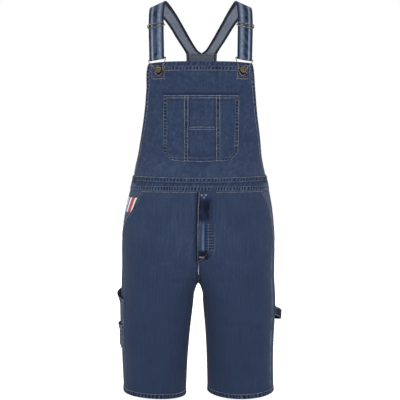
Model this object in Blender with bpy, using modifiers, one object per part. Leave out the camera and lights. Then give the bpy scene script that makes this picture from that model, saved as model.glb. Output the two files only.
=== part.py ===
"""Denim bib-overall shorts, hollow as if worn: a bib on two straps, a high back, two wide legs and their pockets.

The cloth lies on one surface. Above the crotch that surface is an oval round the trunk, below it an oval round each
leg, and between the two a blend makes the seat and the crotch curve. Each piece of cloth is a grid of points on that
surface, given a thickness by a Solidify modifier. The front faces -Y, and z = 0 is the top of the shoulders.
"""

import math

import bmesh
import bpy
import numpy as np
from mathutils import Matrix, Vector

# ---- Driving dimensions, in metres ----

CLOTH = 0.0016  # one layer of denim with its seam allowance
BAND = 0.0026  # a doubled band
PATCH = 0.0014  # a patch pocket
THIN_PATCH = 0.0010
POCKET_CLOTH = 0.0012
STRAP_THICK = 0.0024
LOOP_THICK = 0.0020
GAP = 0.0003  # between neighbouring pieces
OVER = 0.0009  # what is sewn on top lies this far above the cloth under it
SEAM = 0.00025  # each panel stops this far short of its seam line

SPLIT = (-0.590, -0.745)  # the trunk oval turns into the leg ovals between these heights

BIB_TOP = -0.1522
BIB_TOP_DROP = 0.0050  # the top edge falls this much from its middle to its corners
BIB_TOP_HALF = 0.1300
WAIST_TOP = -0.4355
WAIST_SEAM = -0.4725
BAND_TURN = 1.5685  # radians each way from the middle, over which a waistband's points are spaced
SEAT_CURVE_TOP = -0.640  # above this height the centre seams are nearly upright
LEG_RADIUS = 0.09  # roughly, to turn lengths into angles
LEG_ROWS, LEG_COLUMNS = 27, 13
FARTHEST = 0.4  # no cloth is as far as this from the axis it goes round
CROTCH_LOWEST = 0.760  # the crotch is higher than this far down

SLIDER_WIDE, SLIDER_TALL = 0.0445, 0.0130
BAR_RADIUS = 0.0012  # of the slider's bars
POST_WIDE = 0.0022  # of the slider's ends
SLIDER_CLEAR = 0.0006  # between the slider's bars and the strap

BUTTON_RADIUS = 0.0085
BUTTON_X, BUTTON_Z = 0.1025, -0.1735
WIRE_RADIUS = 0.0011
WIRE_LIFT = 0.0044  # from the bib's face to the middle of the wire round the button
SIDES = ((-1, "left"), (1, "right"))


def table(names, rows):
    """The columns of a table by name, each as an array, in order of rising z."""
    return dict(zip(names.split(), np.array(sorted(rows)).T))


# The trunk at each height: half its width, how far its front and back stand from the side seams, its middle line,
# and how square its corners are, where 2 is an ellipse.
TRUNK = table(
    "z half front back middle square",
    [
        (-0.100, 0.1820, 0.0880, 0.1140, 0.0024, 2.4),
        (-0.120, 0.1800, 0.0940, 0.1175, 0.0024, 2.4),
        (-0.155, 0.1755, 0.1030, 0.1220, 0.0022, 2.4),
        (-0.220, 0.1720, 0.1130, 0.1230, 0.0014, 2.4),
        (-0.300, 0.1690, 0.1170, 0.1170, 0.0004, 2.4),
        (-0.380, 0.1675, 0.1145, 0.1100, -0.0010, 2.4),
        (-0.4355, 0.1692, 0.1125, 0.1090, -0.0022, 2.4),
        (-0.4490, 0.1722, 0.1135, 0.1105, -0.0024, 2.4),
        (-0.4725, 0.1768, 0.1155, 0.1140, -0.0027, 2.4),
        (-0.510, 0.1840, 0.1185, 0.1230, -0.0036, 2.4),
        (-0.541, 0.1889, 0.1205, 0.1310, -0.0046, 2.45),
        (-0.572, 0.1924, 0.1215, 0.1370, -0.0053, 2.5),
        (-0.602, 0.1934, 0.1213, 0.1395, -0.0056, 2.55),
        (-0.633, 0.1934, 0.1205, 0.1400, -0.0060, 2.6),
        (-0.665, 0.1934, 0.1190, 0.1390, -0.0060, 2.7),
        (-0.711, 0.1945, 0.1150, 0.1340, -0.0059, 2.7),
        (-0.760, 0.1950, 0.1100, 0.1280, -0.0060, 2.7),
    ],
)

# The legs: how far the inner and outer side of each is from the middle line, the depth to front and back, and how
# square the inner and the outer corners are.
LEGS = table(
    "z inner_left outer_left inner_right outer_right front back square_in square_out",
    [
        (-0.590, 0.0070, 0.1940, 0.0070, 0.1935, 0.1190, 0.1380, 3.2, 2.0),
        (-0.660, 0.0100, 0.1935, 0.0100, 0.1930, 0.1165, 0.1360, 3.2, 2.0),
        (-0.690, 0.0112, 0.1945, 0.0112, 0.1932, 0.1145, 0.1330, 3.1, 2.0),
        (-0.7135, 0.0120, 0.1953, 0.0120, 0.1938, 0.1125, 0.1300, 3.0, 2.0),
        (-0.7300, 0.0124, 0.1959, 0.0124, 0.1945, 0.1105, 0.1265, 2.9, 2.0),
        (-0.7553, 0.0136, 0.1966, 0.0128, 0.1955, 0.1070, 0.1200, 2.7, 2.05),
        (-0.7860, 0.0170, 0.1968, 0.0149, 0.1952, 0.1035, 0.1140, 2.5, 2.1),
        (-0.8166, 0.0206, 0.1963, 0.0175, 0.1942, 0.1003, 0.1085, 2.4, 2.1),
        (-0.8470, 0.0239, 0.1956, 0.0198, 0.1930, 0.0975, 0.1045, 2.3, 2.15),
        (-0.8780, 0.0264, 0.1950, 0.0213, 0.1922, 0.0950, 0.1010, 2.25, 2.2),
        (-0.9080, 0.0287, 0.1941, 0.0222, 0.1918, 0.0925, 0.0980, 2.2, 2.2),
        (-0.9390, 0.0302, 0.1928, 0.0231, 0.1918, 0.0905, 0.0950, 2.2, 2.2),
        (-0.9700, 0.0316, 0.1916, 0.0238, 0.1920, 0.0885, 0.0925, 2.2, 2.2),
        (-0.9990, 0.0330, 0.1910, 0.0246, 0.1924, 0.0870, 0.0910, 2.2, 2.2),
    ],
)

# The hem of each leg: its height at the leg's middle, its slope across, and how far it rises to the side seams.
HEMS = {-1: (-0.9943, -0.058, 0.0010), 1: (-0.9950, 0.0, 0.0060)}
HEM_REACH = -0.860  # the rows are level above this height

# The side edges of the bib, as x.
BIB_EDGES = table(
    "z left right",
    [
        (-0.1520, -0.1285, 0.1270),
        (-0.1570, -0.1312, 0.1293),
        (-0.1620, -0.1325, 0.1303),
        (-0.2216, -0.1351, 0.1354),
        (-0.2814, -0.1406, 0.1406),
        (-0.3413, -0.1499, 0.1483),
        (-0.3713, -0.1552, 0.1512),
        (-0.4013, -0.1603, 0.1536),
        (-0.4163, -0.1628, 0.1557),
        (-0.4355, -0.1650, 0.1600),
    ],
)
BIB_ROWS = (-0.157, -0.170, -0.196, -0.2357, -0.270, -0.3122, -0.345, -0.3752, -0.401, -0.420)

# Half the width of the high back.
BACK_EDGES = table(
    "z half",
    [
        (-0.1207, 0.0405),
        (-0.1350, 0.0396),
        (-0.1600, 0.0415),
        (-0.1900, 0.0490),
        (-0.2300, 0.0620),
        (-0.2800, 0.0810),
        (-0.3300, 0.1040),
        (-0.3700, 0.1260),
        (-0.4000, 0.1470),
        (-0.4200, 0.1600),
        (-0.4355, 0.1670),
    ],
)

# The chest pocket's outline and the height of its rows.
CHEST_POCKET = table(
    "z left right",
    [
        (-0.2357, -0.0917, 0.0949),
        (-0.3122, -0.0924, 0.0940),
        (-0.3450, -0.0929, 0.0934),
        (-0.3700, -0.0933, 0.0928),
        (-0.3735, -0.0933, 0.0927),
        (-0.3770, -0.0917, 0.0910),
        (-0.3855, -0.0838, 0.0840),
        (-0.3950, -0.0743, 0.0743),
    ],
)
CENTRE_POCKET_LEFT, CENTRE_POCKET_RIGHT = -0.0410, 0.0485
CENTRE_POCKET_TOP, CENTRE_POCKET_BOTTOM = -0.3122, -0.3945
POCKET_BELLY = 0.0055  # the lower edge hangs this much lower in its middle
POCKET_BELLY_HALF, POCKET_BELLY_TOP = 0.0750, -0.340
BUTTON_PATCH = {"inner": 0.0885, "outer": 0.1215, "top": -0.1615, "bottom": -0.1970}

# The fly's left and right edges. Below its curve's top the right edge runs round to the left one.
FLY_LEFT, FLY_RIGHT = -0.0084, 0.0377
FLY_CURVE_TOP, FLY_CURVE_TALL = -0.6090, 0.0425
FLY_ROWS = (-0.4728, -0.5000, -0.5300, -0.5600, -0.5850, -0.6090, -0.6250, -0.6380, -0.6460, -0.6505)

# Each strap from its lower fold over the shoulder to the back, by its outer and its inner edge. x is outwards.
STRAP = (
    # outer x, y, z, inner x, y, z
    ((0.1266, -0.0840, -0.1475), (0.0910, -0.0975, -0.1415)),
    ((0.1278, -0.0740, -0.1095), (0.0918, -0.0870, -0.1040)),
    ((0.1290, -0.0615, -0.0720), (0.0926, -0.0725, -0.0665)),
    ((0.1294, -0.0420, -0.0370), (0.0926, -0.0490, -0.0270)),
    ((0.1284, -0.0190, -0.0180), (0.0896, -0.0220, -0.0010)),
    ((0.1250, 0.0040, -0.0125), (0.0870, 0.0020, 0.0046)),
    ((0.1180, 0.0370, -0.0190), (0.0790, 0.0290, -0.0030)),
    ((0.1005, 0.0650, -0.0315), (0.0665, 0.0530, -0.0210)),
    ((0.0845, 0.0865, -0.0505), (0.0505, 0.0790, -0.0475)),
    ((0.0620, 0.1070, -0.0860), (0.0275, 0.1020, -0.0870)),
    ((0.0466, 0.1150, -0.1090), (0.0122, 0.1110, -0.1105)),
    ((0.0408, 0.1165, -0.1200), (0.0004, 0.1175, -0.1200)),
)
BACK_DRIFT = 0.0024  # the straps' back ends sit this far to the right of the middle
STRAP_STEPS = 3  # rows from one section of the strap to the next
FOLD_RADIUS = 0.0030  # of the middle of the cloth round the buckle bar
BEHIND_ROWS = 7  # the strap's doubled end has this many rows
BEHIND_NARROW = 0.10  # and is narrower than the strap by this share, at its inner edge
SLIDER_ROW = 6.5  # the slider sits this many rows above the strap's lower fold

# Half of each buckle's wire, as (sideways, down): first from the middle of its bar, then from the button's middle.
BUCKLE_BAR = ((0.0, 0.0), (0.0120, 0.0), (0.0212, 0.0), (0.0226, 0.0012), (0.0224, 0.0040))
BUCKLE_LOOP = (
    (0.0165, -0.0135),
    (0.0118, -0.0095),
    (0.0108, -0.0040),
    (0.0112, 0.0015),
    (0.0090, 0.0075),
    (0.0050, 0.0120),
    (0.0018, 0.0143),
)
BUCKLE_TIP = 0.0148

# The edge of each hip pocket's mouth, as the distance from the middle line.
POCKET_MOUTHS = {
    -1: table(
        "z out",
        [
            (-0.4725, 0.1453),
            (-0.4980, 0.1570),
            (-0.5217, 0.1640),
            (-0.5383, 0.1735),
            (-0.5670, 0.1870),
            (-0.6000, 0.1948),
        ],
    ),
    1: table(
        "z out",
        [
            (-0.4725, 0.1603),
            (-0.5104, 0.1765),
            (-0.5534, 0.1860),
            (-0.5991, 0.1915),
            (-0.6250, 0.1950),
        ],
    ),
}
POCKET_DROP = 0.0013  # the pocket cloth hangs this much below the panel that covers it
POCKET_GAPE = {-1: 0.0065, 1: 0.0012}  # how far each mouth stands off the body
GAPE_REACH = 0.045  # the front panel lifts over this width
FACING_BOTTOM = -0.4900
FACING_OVERLAP = 0.022  # how far the facing runs on under the front panel
BAG_BOTTOM = -0.6120
# Angles at the side seam, in radians: the least width of the pocket cloth there, how far from the mouth's edge it
# starts to rise, and the mouth widths between which it comes to rise all the way.
BAG_LEAST, BAG_START, BAG_WIDE = 0.05, 0.04, (0.16, 0.36)

# The patch pockets on the left outer thigh. Angles run from the inner side of the leg over its front.
CARPENTER = {"front": 146.0, "back": 232.0, "top": -0.7500, "rise": 0.0270, "bottom": -0.8780}
CARPENTER_GAPE, CARPENTER_REACH = 0.0090, 0.0300
TOOL = {"front": 148.0, "back": 200.0, "top": -0.8143, "rise": 0.0, "bottom": -0.8700}
TOOL_GAPE, TOOL_REACH = 0.0036, 0.0260

# The hammer loop on the right outer thigh, from its front end to its back one: where its middle line runs round the
# leg, and how far that line stands off the leg.
HAMMER_LOOP = (
    # angle in degrees, z, stand-off
    (163.0, -0.7800, 0.0015),
    (168.0, -0.7815, 0.0020),
    (174.0, -0.7840, 0.0080),
    (180.0, -0.7865, 0.0140),
    (188.0, -0.7900, 0.0175),
    (196.0, -0.7935, 0.0150),
    (204.0, -0.7970, 0.0085),
    (210.0, -0.7995, 0.0022),
    (215.0, -0.8010, 0.0015),
)
HAMMER_HALF = 0.0125  # from its middle line to its upper and lower edges


# ---- The surface that the cloth lies on ----


def at(columns, name, z):
    """A column of a table at any height, by smooth cubics through its rows, level beyond its ends."""
    heights, values = columns["z"], columns[name]
    slopes = np.gradient(values, heights)
    z = np.clip(z, heights[0], heights[-1])
    row = np.clip(np.searchsorted(heights, z) - 1, 0, len(heights) - 2)
    step = heights[row + 1] - heights[row]
    t = (z - heights[row]) / step
    return (
        values[row] * (1 + 2 * t) * (1 - t) ** 2
        + slopes[row] * step * t * (1 - t) ** 2
        + values[row + 1] * t * t * (3 - 2 * t)
        + slopes[row + 1] * step * t * t * (t - 1)
    )


def smooth(x, low, high):
    """0 at low, 1 at high, level at both ends."""
    t = np.clip((x - low) / (high - low), 0, 1)
    return t * t * (3 - 2 * t)


def oval(x, y, half, front, back, square):
    """Below 0 inside an oval, above 0 outside it."""
    depth = np.where(y < 0, front, back)
    return (np.abs(x / half) ** square + np.abs(y / depth) ** square) ** (1 / square) - 1


def leg_middle(side, z):
    """The x of a leg's axis."""
    word = "left" if side < 0 else "right"
    reach = (at(LEGS, "inner_" + word, z) + at(LEGS, "outer_" + word, z)) / 2
    return at(TRUNK, "middle", z) + side * reach


def leg_half(side, z):
    word = "left" if side < 0 else "right"
    return (at(LEGS, "outer_" + word, z) - at(LEGS, "inner_" + word, z)) / 2


def field(side, x, y, z):
    """Below 0 inside the shorts on one side, -1 or 1, and above 0 outside them."""
    trunk = oval(
        x - at(TRUNK, "middle", z),
        y,
        at(TRUNK, "half", z),
        at(TRUNK, "front", z),
        at(TRUNK, "back", z),
        at(TRUNK, "square", z),
    )
    across = x - leg_middle(side, z)
    leg = oval(
        across,
        y,
        leg_half(side, z),
        at(LEGS, "front", z),
        at(LEGS, "back", z),
        np.where(side * across < 0, at(LEGS, "square_in", z), at(LEGS, "square_out", z)),
    )
    turn = smooth(z, *SPLIT)
    return trunk * (1 - turn) + leg * turn


def root(function, low, high, steps=44):
    """Where a function of an array turns from negative, at low, to positive, at high."""
    low, high = np.broadcast_arrays(np.asarray(low, float), np.asarray(high, float))
    for _ in range(steps):
        middle = (low + high) / 2
        inside = function(middle) < 0
        low = np.where(inside, middle, low)
        high = np.where(inside, high, middle)
    return (low + high) / 2


def round_leg(side, angle, z):
    """The surface at an angle round a leg's axis: 0 inwards, a quarter turn frontwards, a half turn outwards."""
    angle, z = np.broadcast_arrays(np.asarray(angle, float), np.asarray(z, float))
    middle = leg_middle(side, z)

    def place(radius):
        return middle - side * radius * np.cos(angle), -radius * np.sin(angle)

    radius = root(lambda r: field(side, *place(r), z), np.zeros_like(z), np.full_like(z, FARTHEST))
    x, y = place(radius)
    return np.stack([x, y, z], -1)


def front_or_back(x, z, facing):
    """The surface straight in front of (-1) or behind (1) a point of the middle plane."""
    x, z = np.broadcast_arrays(np.asarray(x, float), np.asarray(z, float))
    left = x < at(TRUNK, "middle", z)

    def outside(depth):
        y = facing * depth
        return np.where(left, field(-1, x, y, z), field(1, x, y, z))

    depth = root(outside, np.zeros_like(z), np.full_like(z, FARTHEST))
    return np.stack([x, facing * depth, z], -1)


def outward(points):
    """The surface's outward normals at points on it."""
    x, y, z = points[..., 0], points[..., 1], points[..., 2]
    left = x < at(TRUNK, "middle", z)
    step = 1e-4

    def value(*place):
        return np.where(left, field(-1, *place), field(1, *place))

    slope = np.stack(
        [
            value(x + step, y, z) - value(x - step, y, z),
            value(x, y + step, z) - value(x, y - step, z),
            value(x, y, z + step) - value(x, y, z - step),
        ],
        -1,
    )
    return slope / np.linalg.norm(slope, axis=-1, keepdims=True)


def lifted(points, height):
    """Points on the surface moved out along its normals."""
    return points + outward(points) * np.asarray(height, float)[..., None]


def curve_through(knots, steps):
    """Points along a Catmull-Rom curve through some knots, which may be points or rows of points."""
    knots = np.asarray(knots, float)
    padded = np.concatenate([[2 * knots[0] - knots[1]], knots, [2 * knots[-1] - knots[-2]]])
    points = []
    for i in range(len(knots) - 1):
        a, b, c, d = padded[i : i + 4]
        for t in np.arange(steps) / steps:
            points.append(
                b + t * (c - a) / 2 + t * t * (a - 2.5 * b + 2 * c - d / 2) + t**3 * (1.5 * (b - c) + (d - a) / 2)
            )
    return np.array(points + [knots[-1]])


# ---- Blender helpers ----


def clear_scene():
    for obj in list(bpy.data.objects):
        bpy.data.objects.remove(obj, do_unlink=True)


def new_collection(name, hidden=False):
    collection = bpy.data.collections.new(name)
    bpy.context.scene.collection.children.link(collection)
    collection.hide_render = hidden
    return collection


def material(name, colour, roughness, metallic=0.0):
    made = bpy.data.materials.new(name)
    made.use_nodes = True
    shader = made.node_tree.nodes["Principled BSDF"]
    shader.inputs["Base Color"].default_value = (*colour, 1.0)
    shader.inputs["Roughness"].default_value = roughness
    shader.inputs["Metallic"].default_value = metallic
    return made


def add_object(name, mesh, finish):
    obj = bpy.data.objects.new(name, mesh)
    mesh.materials.append(finish)
    PARTS.objects.link(obj)
    return obj


def sheet(name, grid, finish, thickness=CLOTH, facing=None, centred=False):
    """A piece of cloth from a grid of points on its outer face, or on its middle if centred.

    facing holds an outward direction for the grid's middle point, and is the surface's normal if left out.
    """
    rows, columns = grid.shape[:2]
    middle = (rows // 2, columns // 2)
    if facing is None:
        facing = outward(grid[middle])
    along = grid[min(middle[0] + 1, rows - 1), middle[1]] - grid[middle[0] - 1, middle[1]]
    across = grid[middle[0], min(middle[1] + 1, columns - 1)] - grid[middle[0], middle[1] - 1]
    turned = np.cross(along, across) @ facing < 0
    faces = []
    for i in range(rows - 1):
        for j in range(columns - 1):
            corner = i * columns + j
            face = (corner, corner + columns, corner + columns + 1, corner + 1)
            faces.append(face[::-1] if turned else face)
    mesh = bpy.data.meshes.new(name)
    mesh.from_pydata(grid.reshape(-1, 3).tolist(), [], faces)
    mesh.shade_smooth()
    obj = add_object(name, mesh, finish)
    thicken = obj.modifiers.new("thickness", "SOLIDIFY")
    thicken.thickness = thickness
    thicken.offset = 0.0 if centred else -1.0
    return obj


def wire(name, points, radius, finish):
    """A closed bent wire through points."""
    curve = bpy.data.curves.new(name, "CURVE")
    curve.dimensions = "3D"
    curve.bevel_depth = radius
    curve.bevel_resolution = 2
    spline = curve.splines.new("POLY")
    spline.points.add(len(points) - 1)
    for knot, point in zip(spline.points, points):
        knot.co = (*point, 1.0)
    spline.use_cyclic_u = True
    obj = bpy.data.objects.new(name, curve)
    curve.materials.append(finish)
    PARTS.objects.link(obj)
    return obj


def turn_to(normal, across):
    """A rotation that puts +Z along a normal and +X as near as it can to a direction across it."""
    z = Vector(normal).normalized()
    x = (Vector(across) - Vector(across).project(z)).normalized()
    return Matrix((x, z.cross(x), z)).transposed().to_euler()


def box_mesh(name, size):
    mesh = bpy.data.meshes.new(name)
    bm = bmesh.new()
    bmesh.ops.create_cube(bm, size=1.0)
    bmesh.ops.scale(bm, vec=size, verts=bm.verts)
    bm.to_mesh(mesh)
    bm.free()
    return mesh


def rod_mesh(name, radius, length):
    """A rod along X."""
    mesh = bpy.data.meshes.new(name)
    bm = bmesh.new()
    bmesh.ops.create_cone(bm, cap_ends=True, segments=12, radius1=radius, radius2=radius, depth=length)
    for vertex in bm.verts:
        vertex.co = (vertex.co.z, vertex.co.x, vertex.co.y)
    bm.to_mesh(mesh)
    bm.free()
    return mesh


# ---- Pieces of cloth on the surface ----


def make_bib(finish):
    share = np.linspace(0, 1, 13)[None, :]
    z = np.array((BIB_TOP, *BIB_ROWS, WAIST_TOP + GAP))[:, None]
    x = at(BIB_EDGES, "left", z) * (1 - share) + at(BIB_EDGES, "right", z) * share
    sag = BIB_TOP_DROP * (x / BIB_TOP_HALF) ** 2 * smooth(z, CHEST_POCKET["z"][-1], BIB_TOP)
    return sheet("bib_front", front_or_back(x, z - sag, -1), finish)


def bellied(x, z):
    """The height of a chest pocket's row where it hangs lower in its middle."""
    middle = np.clip(1 - (x / POCKET_BELLY_HALF) ** 2, 0, 1)
    return z - POCKET_BELLY * middle * smooth(z, POCKET_BELLY_TOP, CHEST_POCKET["z"][0])


def make_chest_pocket(finish):
    z = CHEST_POCKET["z"][:, None]
    share = np.linspace(0, 1, 9)[None, :]
    x = at(CHEST_POCKET, "left", z) * (1 - share) + at(CHEST_POCKET, "right", z) * share
    grid = lifted(front_or_back(x, bellied(x, z), -1), np.full(x.shape, OVER + PATCH))
    sheet("chest_pocket", grid, finish, PATCH)

    z = np.linspace(CENTRE_POCKET_TOP, CENTRE_POCKET_BOTTOM, 5)[:, None]
    x = np.linspace(CENTRE_POCKET_LEFT, CENTRE_POCKET_RIGHT, 5)[None, :]
    x, z = np.broadcast_arrays(x, z)
    grid = lifted(front_or_back(x, bellied(x, z), -1), np.full(x.shape, 2 * (OVER + PATCH)))
    sheet("chest_pocket_centre", grid, finish, PATCH)


def make_button_patches(finish):
    """The squares that back the bib's two buttons."""
    for side, word in SIDES:
        x = side * np.linspace(BUTTON_PATCH["inner"], BUTTON_PATCH["outer"], 4)[None, :]
        z = np.linspace(BUTTON_PATCH["top"], BUTTON_PATCH["bottom"], 4)[:, None]
        x, z = np.broadcast_arrays(x, z)
        grid = lifted(front_or_back(x, z, -1), np.full(x.shape, OVER + THIN_PATCH))
        sheet("button_patch_" + word, grid, finish, THIN_PATCH)


def make_back(finish):
    z = BACK_EDGES["z"][::-1][:, None].copy()
    z[-1] += GAP
    # The points crowd towards the side edges, where the back turns most.
    turn = np.radians(np.linspace(-81, 81, 11))[None, :]
    share = np.sin(turn) / np.sin(turn[0, -1])
    x = at(TRUNK, "middle", z) + at(BACK_EDGES, "half", z) * share
    return sheet("back_bib", front_or_back(x, z, 1), finish)


def make_waistbands(finish):
    z = np.array([WAIST_TOP, (WAIST_TOP + WAIST_SEAM) / 2, WAIST_SEAM + GAP])[:, None]
    turn = np.linspace(-BAND_TURN, BAND_TURN, 21)[None, :]
    x = at(TRUNK, "middle", z) + at(TRUNK, "half", z) * np.sin(turn)
    for name, facing in (("waistband_front", -1), ("waistband_back", 1)):
        grid = lifted(front_or_back(x, z, facing), np.full(x.shape, BAND - CLOTH))
        sheet(name, grid, finish, BAND)


def seam_rows(side, facing):
    """Evenly spaced points down the inner edge of a leg panel: their heights, and how deep each lies.

    facing is -1 for the front panel and 1 for the back one. The edge runs down the centre seam, under to the crotch
    and down the inside of the leg.
    """

    def seam(z):
        return at(TRUNK, "middle", z) + side * SEAM

    upper = np.linspace(WAIST_SEAM, SEAT_CURVE_TOP, 60)
    depth = root(lambda d: field(side, seam(upper), facing * d, upper), np.zeros(60), FARTHEST)
    under = depth[-1] * np.cos(np.linspace(0, math.pi / 2, 60))[1:]
    low, high = np.full(59, -SEAT_CURVE_TOP), np.full(59, CROTCH_LOWEST)
    curve = -root(lambda down: field(side, seam(-down), facing * under, -down), low, high)
    inside = np.linspace(curve[-1], HEMS[side][0], 60)[1:]
    z = np.concatenate([upper, curve, inside])
    depth = np.concatenate([depth, under, np.zeros(59)])
    length = np.append(0, np.cumsum(np.hypot(np.diff(depth), np.diff(z))))
    # One row starts at the crotch itself.
    crotch = len(upper) + len(curve) - 1
    above = round(LEG_ROWS * length[crotch] / length[-1])
    even = np.linspace(0, length[crotch], above + 1)
    even = np.append(even, np.linspace(length[crotch], length[-1], LEG_ROWS - above)[1:])
    return np.interp(even, length, z), np.interp(even, length, depth)


def angle_out(side, out, z):
    """The angle on the front of a leg at which the surface is this far out from the middle line."""
    middle = at(TRUNK, "middle", z)

    def short(angle):
        return side * (round_leg(side, angle, z)[..., 0] - middle) - out

    return root(short, np.full(np.shape(z), math.pi / 2), np.full(np.shape(z), math.pi))


def mouth_angle(side, z):
    """The angle of the hip pocket's edge."""
    return angle_out(side, at(POCKET_MOUTHS[side], "out", z), z)


def hem_height(side, x, z):
    """A row's height: level high up, and along the hem's curve at the bottom."""
    level, slope, rise = HEMS[side]
    across = x - leg_middle(side, z)
    return z + (slope * across + rise * (across / leg_half(side, z)) ** 2) * smooth(z, HEM_REACH, level)


def make_leg_panel(side, word, facing, finish):
    inner_z, depth = seam_rows(side, facing)
    outer_z = np.linspace(WAIST_SEAM, HEMS[side][0], LEG_ROWS)
    inner = np.abs(leg_middle(side, inner_z) - at(TRUNK, "middle", inner_z)) - SEAM
    start = np.maximum(np.where(depth > 0, np.arctan2(depth, inner), 0), SEAM / LEG_RADIUS)
    end = np.full(LEG_ROWS, math.pi - SEAM / LEG_RADIUS)
    mouth = POCKET_MOUTHS[side]
    if facing < 0:
        end = np.where(outer_z > mouth["z"][0], np.minimum(mouth_angle(side, outer_z), end), end)
    share = np.linspace(0, 1, LEG_COLUMNS)
    angle = np.outer(start, 1 - share) + np.outer(end, share)
    rows = np.outer(inner_z, 1 - share) + np.outer(outer_z, share)
    turned = angle if facing < 0 else 2 * math.pi - angle
    level = round_leg(side, turned, rows)
    grid = round_leg(side, turned, hem_height(side, level[..., 0], rows))
    if facing < 0:
        # The panel lifts off the body towards the pocket's mouth, most at half the mouth's length.
        reach = (end[:, None] - angle) * LEG_RADIUS / GAPE_REACH
        down = np.clip((rows - WAIST_SEAM) / (mouth["z"][0] - WAIST_SEAM), 0, 1)
        lift = POCKET_GAPE[side] * np.clip(1 - reach, 0, 1) ** 2 * np.sin(down * math.pi)
        grid = lifted(grid, lift)
    place = "leg_front_" if facing < 0 else "leg_back_"
    return sheet(place + word, grid, finish)


def make_fly(finish):
    """The stitched fly on the right front, its lower end a curve back to the centre seam."""
    z = np.array(FLY_ROWS)[:, None]
    reach = np.sqrt(1 - (np.clip(FLY_CURVE_TOP - z, 0, None) / FLY_CURVE_TALL) ** 2)
    x = FLY_LEFT + (FLY_RIGHT - FLY_LEFT) * reach * np.linspace(0, 1, 5)[None, :]
    z = np.broadcast_to(z, x.shape)
    grid = lifted(front_or_back(x, z, -1), np.full(x.shape, OVER + THIN_PATCH))
    sheet("fly", grid, finish, THIN_PATCH)


def make_hip_pockets(denim, lining):
    """The facing and the pocket cloth behind each slanted mouth, reaching back to the side seam."""
    under = CLOTH + GAP + POCKET_DROP
    for side, word in SIDES:
        for name, finish, heights in (
            ("pocket_facing_", denim, np.linspace(WAIST_SEAM - GAP, FACING_BOTTOM, 3)),
            ("pocket_bag_", lining, np.linspace(FACING_BOTTOM - GAP, BAG_BOTTOM, 7)),
        ):
            z = heights[:, None]
            edge = mouth_angle(side, z)
            end = math.pi - SEAM / LEG_RADIUS
            start = np.minimum(edge, end - BAG_LEAST) - FACING_OVERLAP / LEG_RADIUS
            angle = start + (end - start) * np.linspace(0, 1, 7)[None, :]
            rows = np.broadcast_to(z, angle.shape)
            # Under the front panel it lies inside; in the mouth it rises to the body's surface at the side seam.
            wide = smooth(end - edge, *BAG_WIDE)
            rise = smooth(angle - edge, BAG_START, np.maximum(end - edge, 2 * BAG_LEAST)) * wide
            grid = lifted(round_leg(side, angle, rows), -under * (1 - rise))
            sheet(name + word, grid, finish, POCKET_CLOTH)


def make_thigh_pocket(name, spec, gape, reach, lift, columns, rows, finish):
    """A patch pocket round the outside of the left thigh, its mouth standing off the leg."""
    share = np.linspace(0, 1, columns)[None, :]
    angle = np.radians(spec["front"] + (spec["back"] - spec["front"]) * share)
    top = spec["top"] + spec["rise"] * share
    down = (np.linspace(0, 1, rows) ** 1.3)[:, None]
    z = top + (spec["bottom"] - top) * down
    angle = np.broadcast_to(angle, z.shape)
    bulge = gape * np.sin(math.pi * share) * np.clip(1 - (top - z) / reach, 0, 1) ** 2
    grid = lifted(round_leg(-1, angle, z), lift + OVER + PATCH + bulge)
    sheet(name, grid, finish, PATCH)


def make_hammer_loop(finish):
    line = curve_through(HAMMER_LOOP, 2)
    angle, z, off = np.radians(line[:, :1]), line[:, 1:2], line[:, 2:]
    edges = HAMMER_HALF * np.array([[1, 0, -1]])
    on_leg = round_leg(1, angle, z + edges)
    sheet("hammer_loop", lifted(on_leg, off + 0 * edges), finish, LOOP_THICK, centred=True)


# ---- Straps and their fittings ----


def strap_rows(side):
    """(rows, normals): (outer, inner) edges on the strap's middle, from its lower fold to the back."""
    rows = curve_through(np.array(STRAP) * (side, 1.0, 1.0), STRAP_STEPS)
    rows[..., 0] += BACK_DRIFT * smooth(rows[..., 1], 0.0, 0.08)
    across = rows[:, 1] - rows[:, 0]
    along = np.gradient(rows.mean(1), axis=0)
    normals = side * np.cross(along, across)
    return rows, normals / np.linalg.norm(normals, axis=1, keepdims=True)


def make_strap(side, word, finish):
    """One ribbon: from the back over the shoulder, round the buckle's bar and up behind itself to the slider."""
    rows, out = strap_rows(side)
    down = rows[0].mean(0) - rows[1].mean(0)
    down /= np.linalg.norm(down)
    fold = []
    for angle in np.radians([30, 75, 120, 165]):
        turned = FOLD_RADIUS * (down * math.sin(angle) - out[0] * (1 - math.cos(angle)))
        fold.append(rows[0] + turned)
    behind = (rows - 2 * FOLD_RADIUS * out[:, None])[:BEHIND_ROWS]
    behind[:, 1] += (behind[:, 0] - behind[:, 1]) * BEHIND_NARROW
    edges = np.concatenate([rows[::-1], fold, behind])
    grid = np.stack([edges[:, 0], edges.mean(1), edges[:, 1]], 1)
    sheet("strap_" + word, grid, finish, STRAP_THICK, facing=out[len(rows) - 1 - len(grid) // 2], centred=True)


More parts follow.
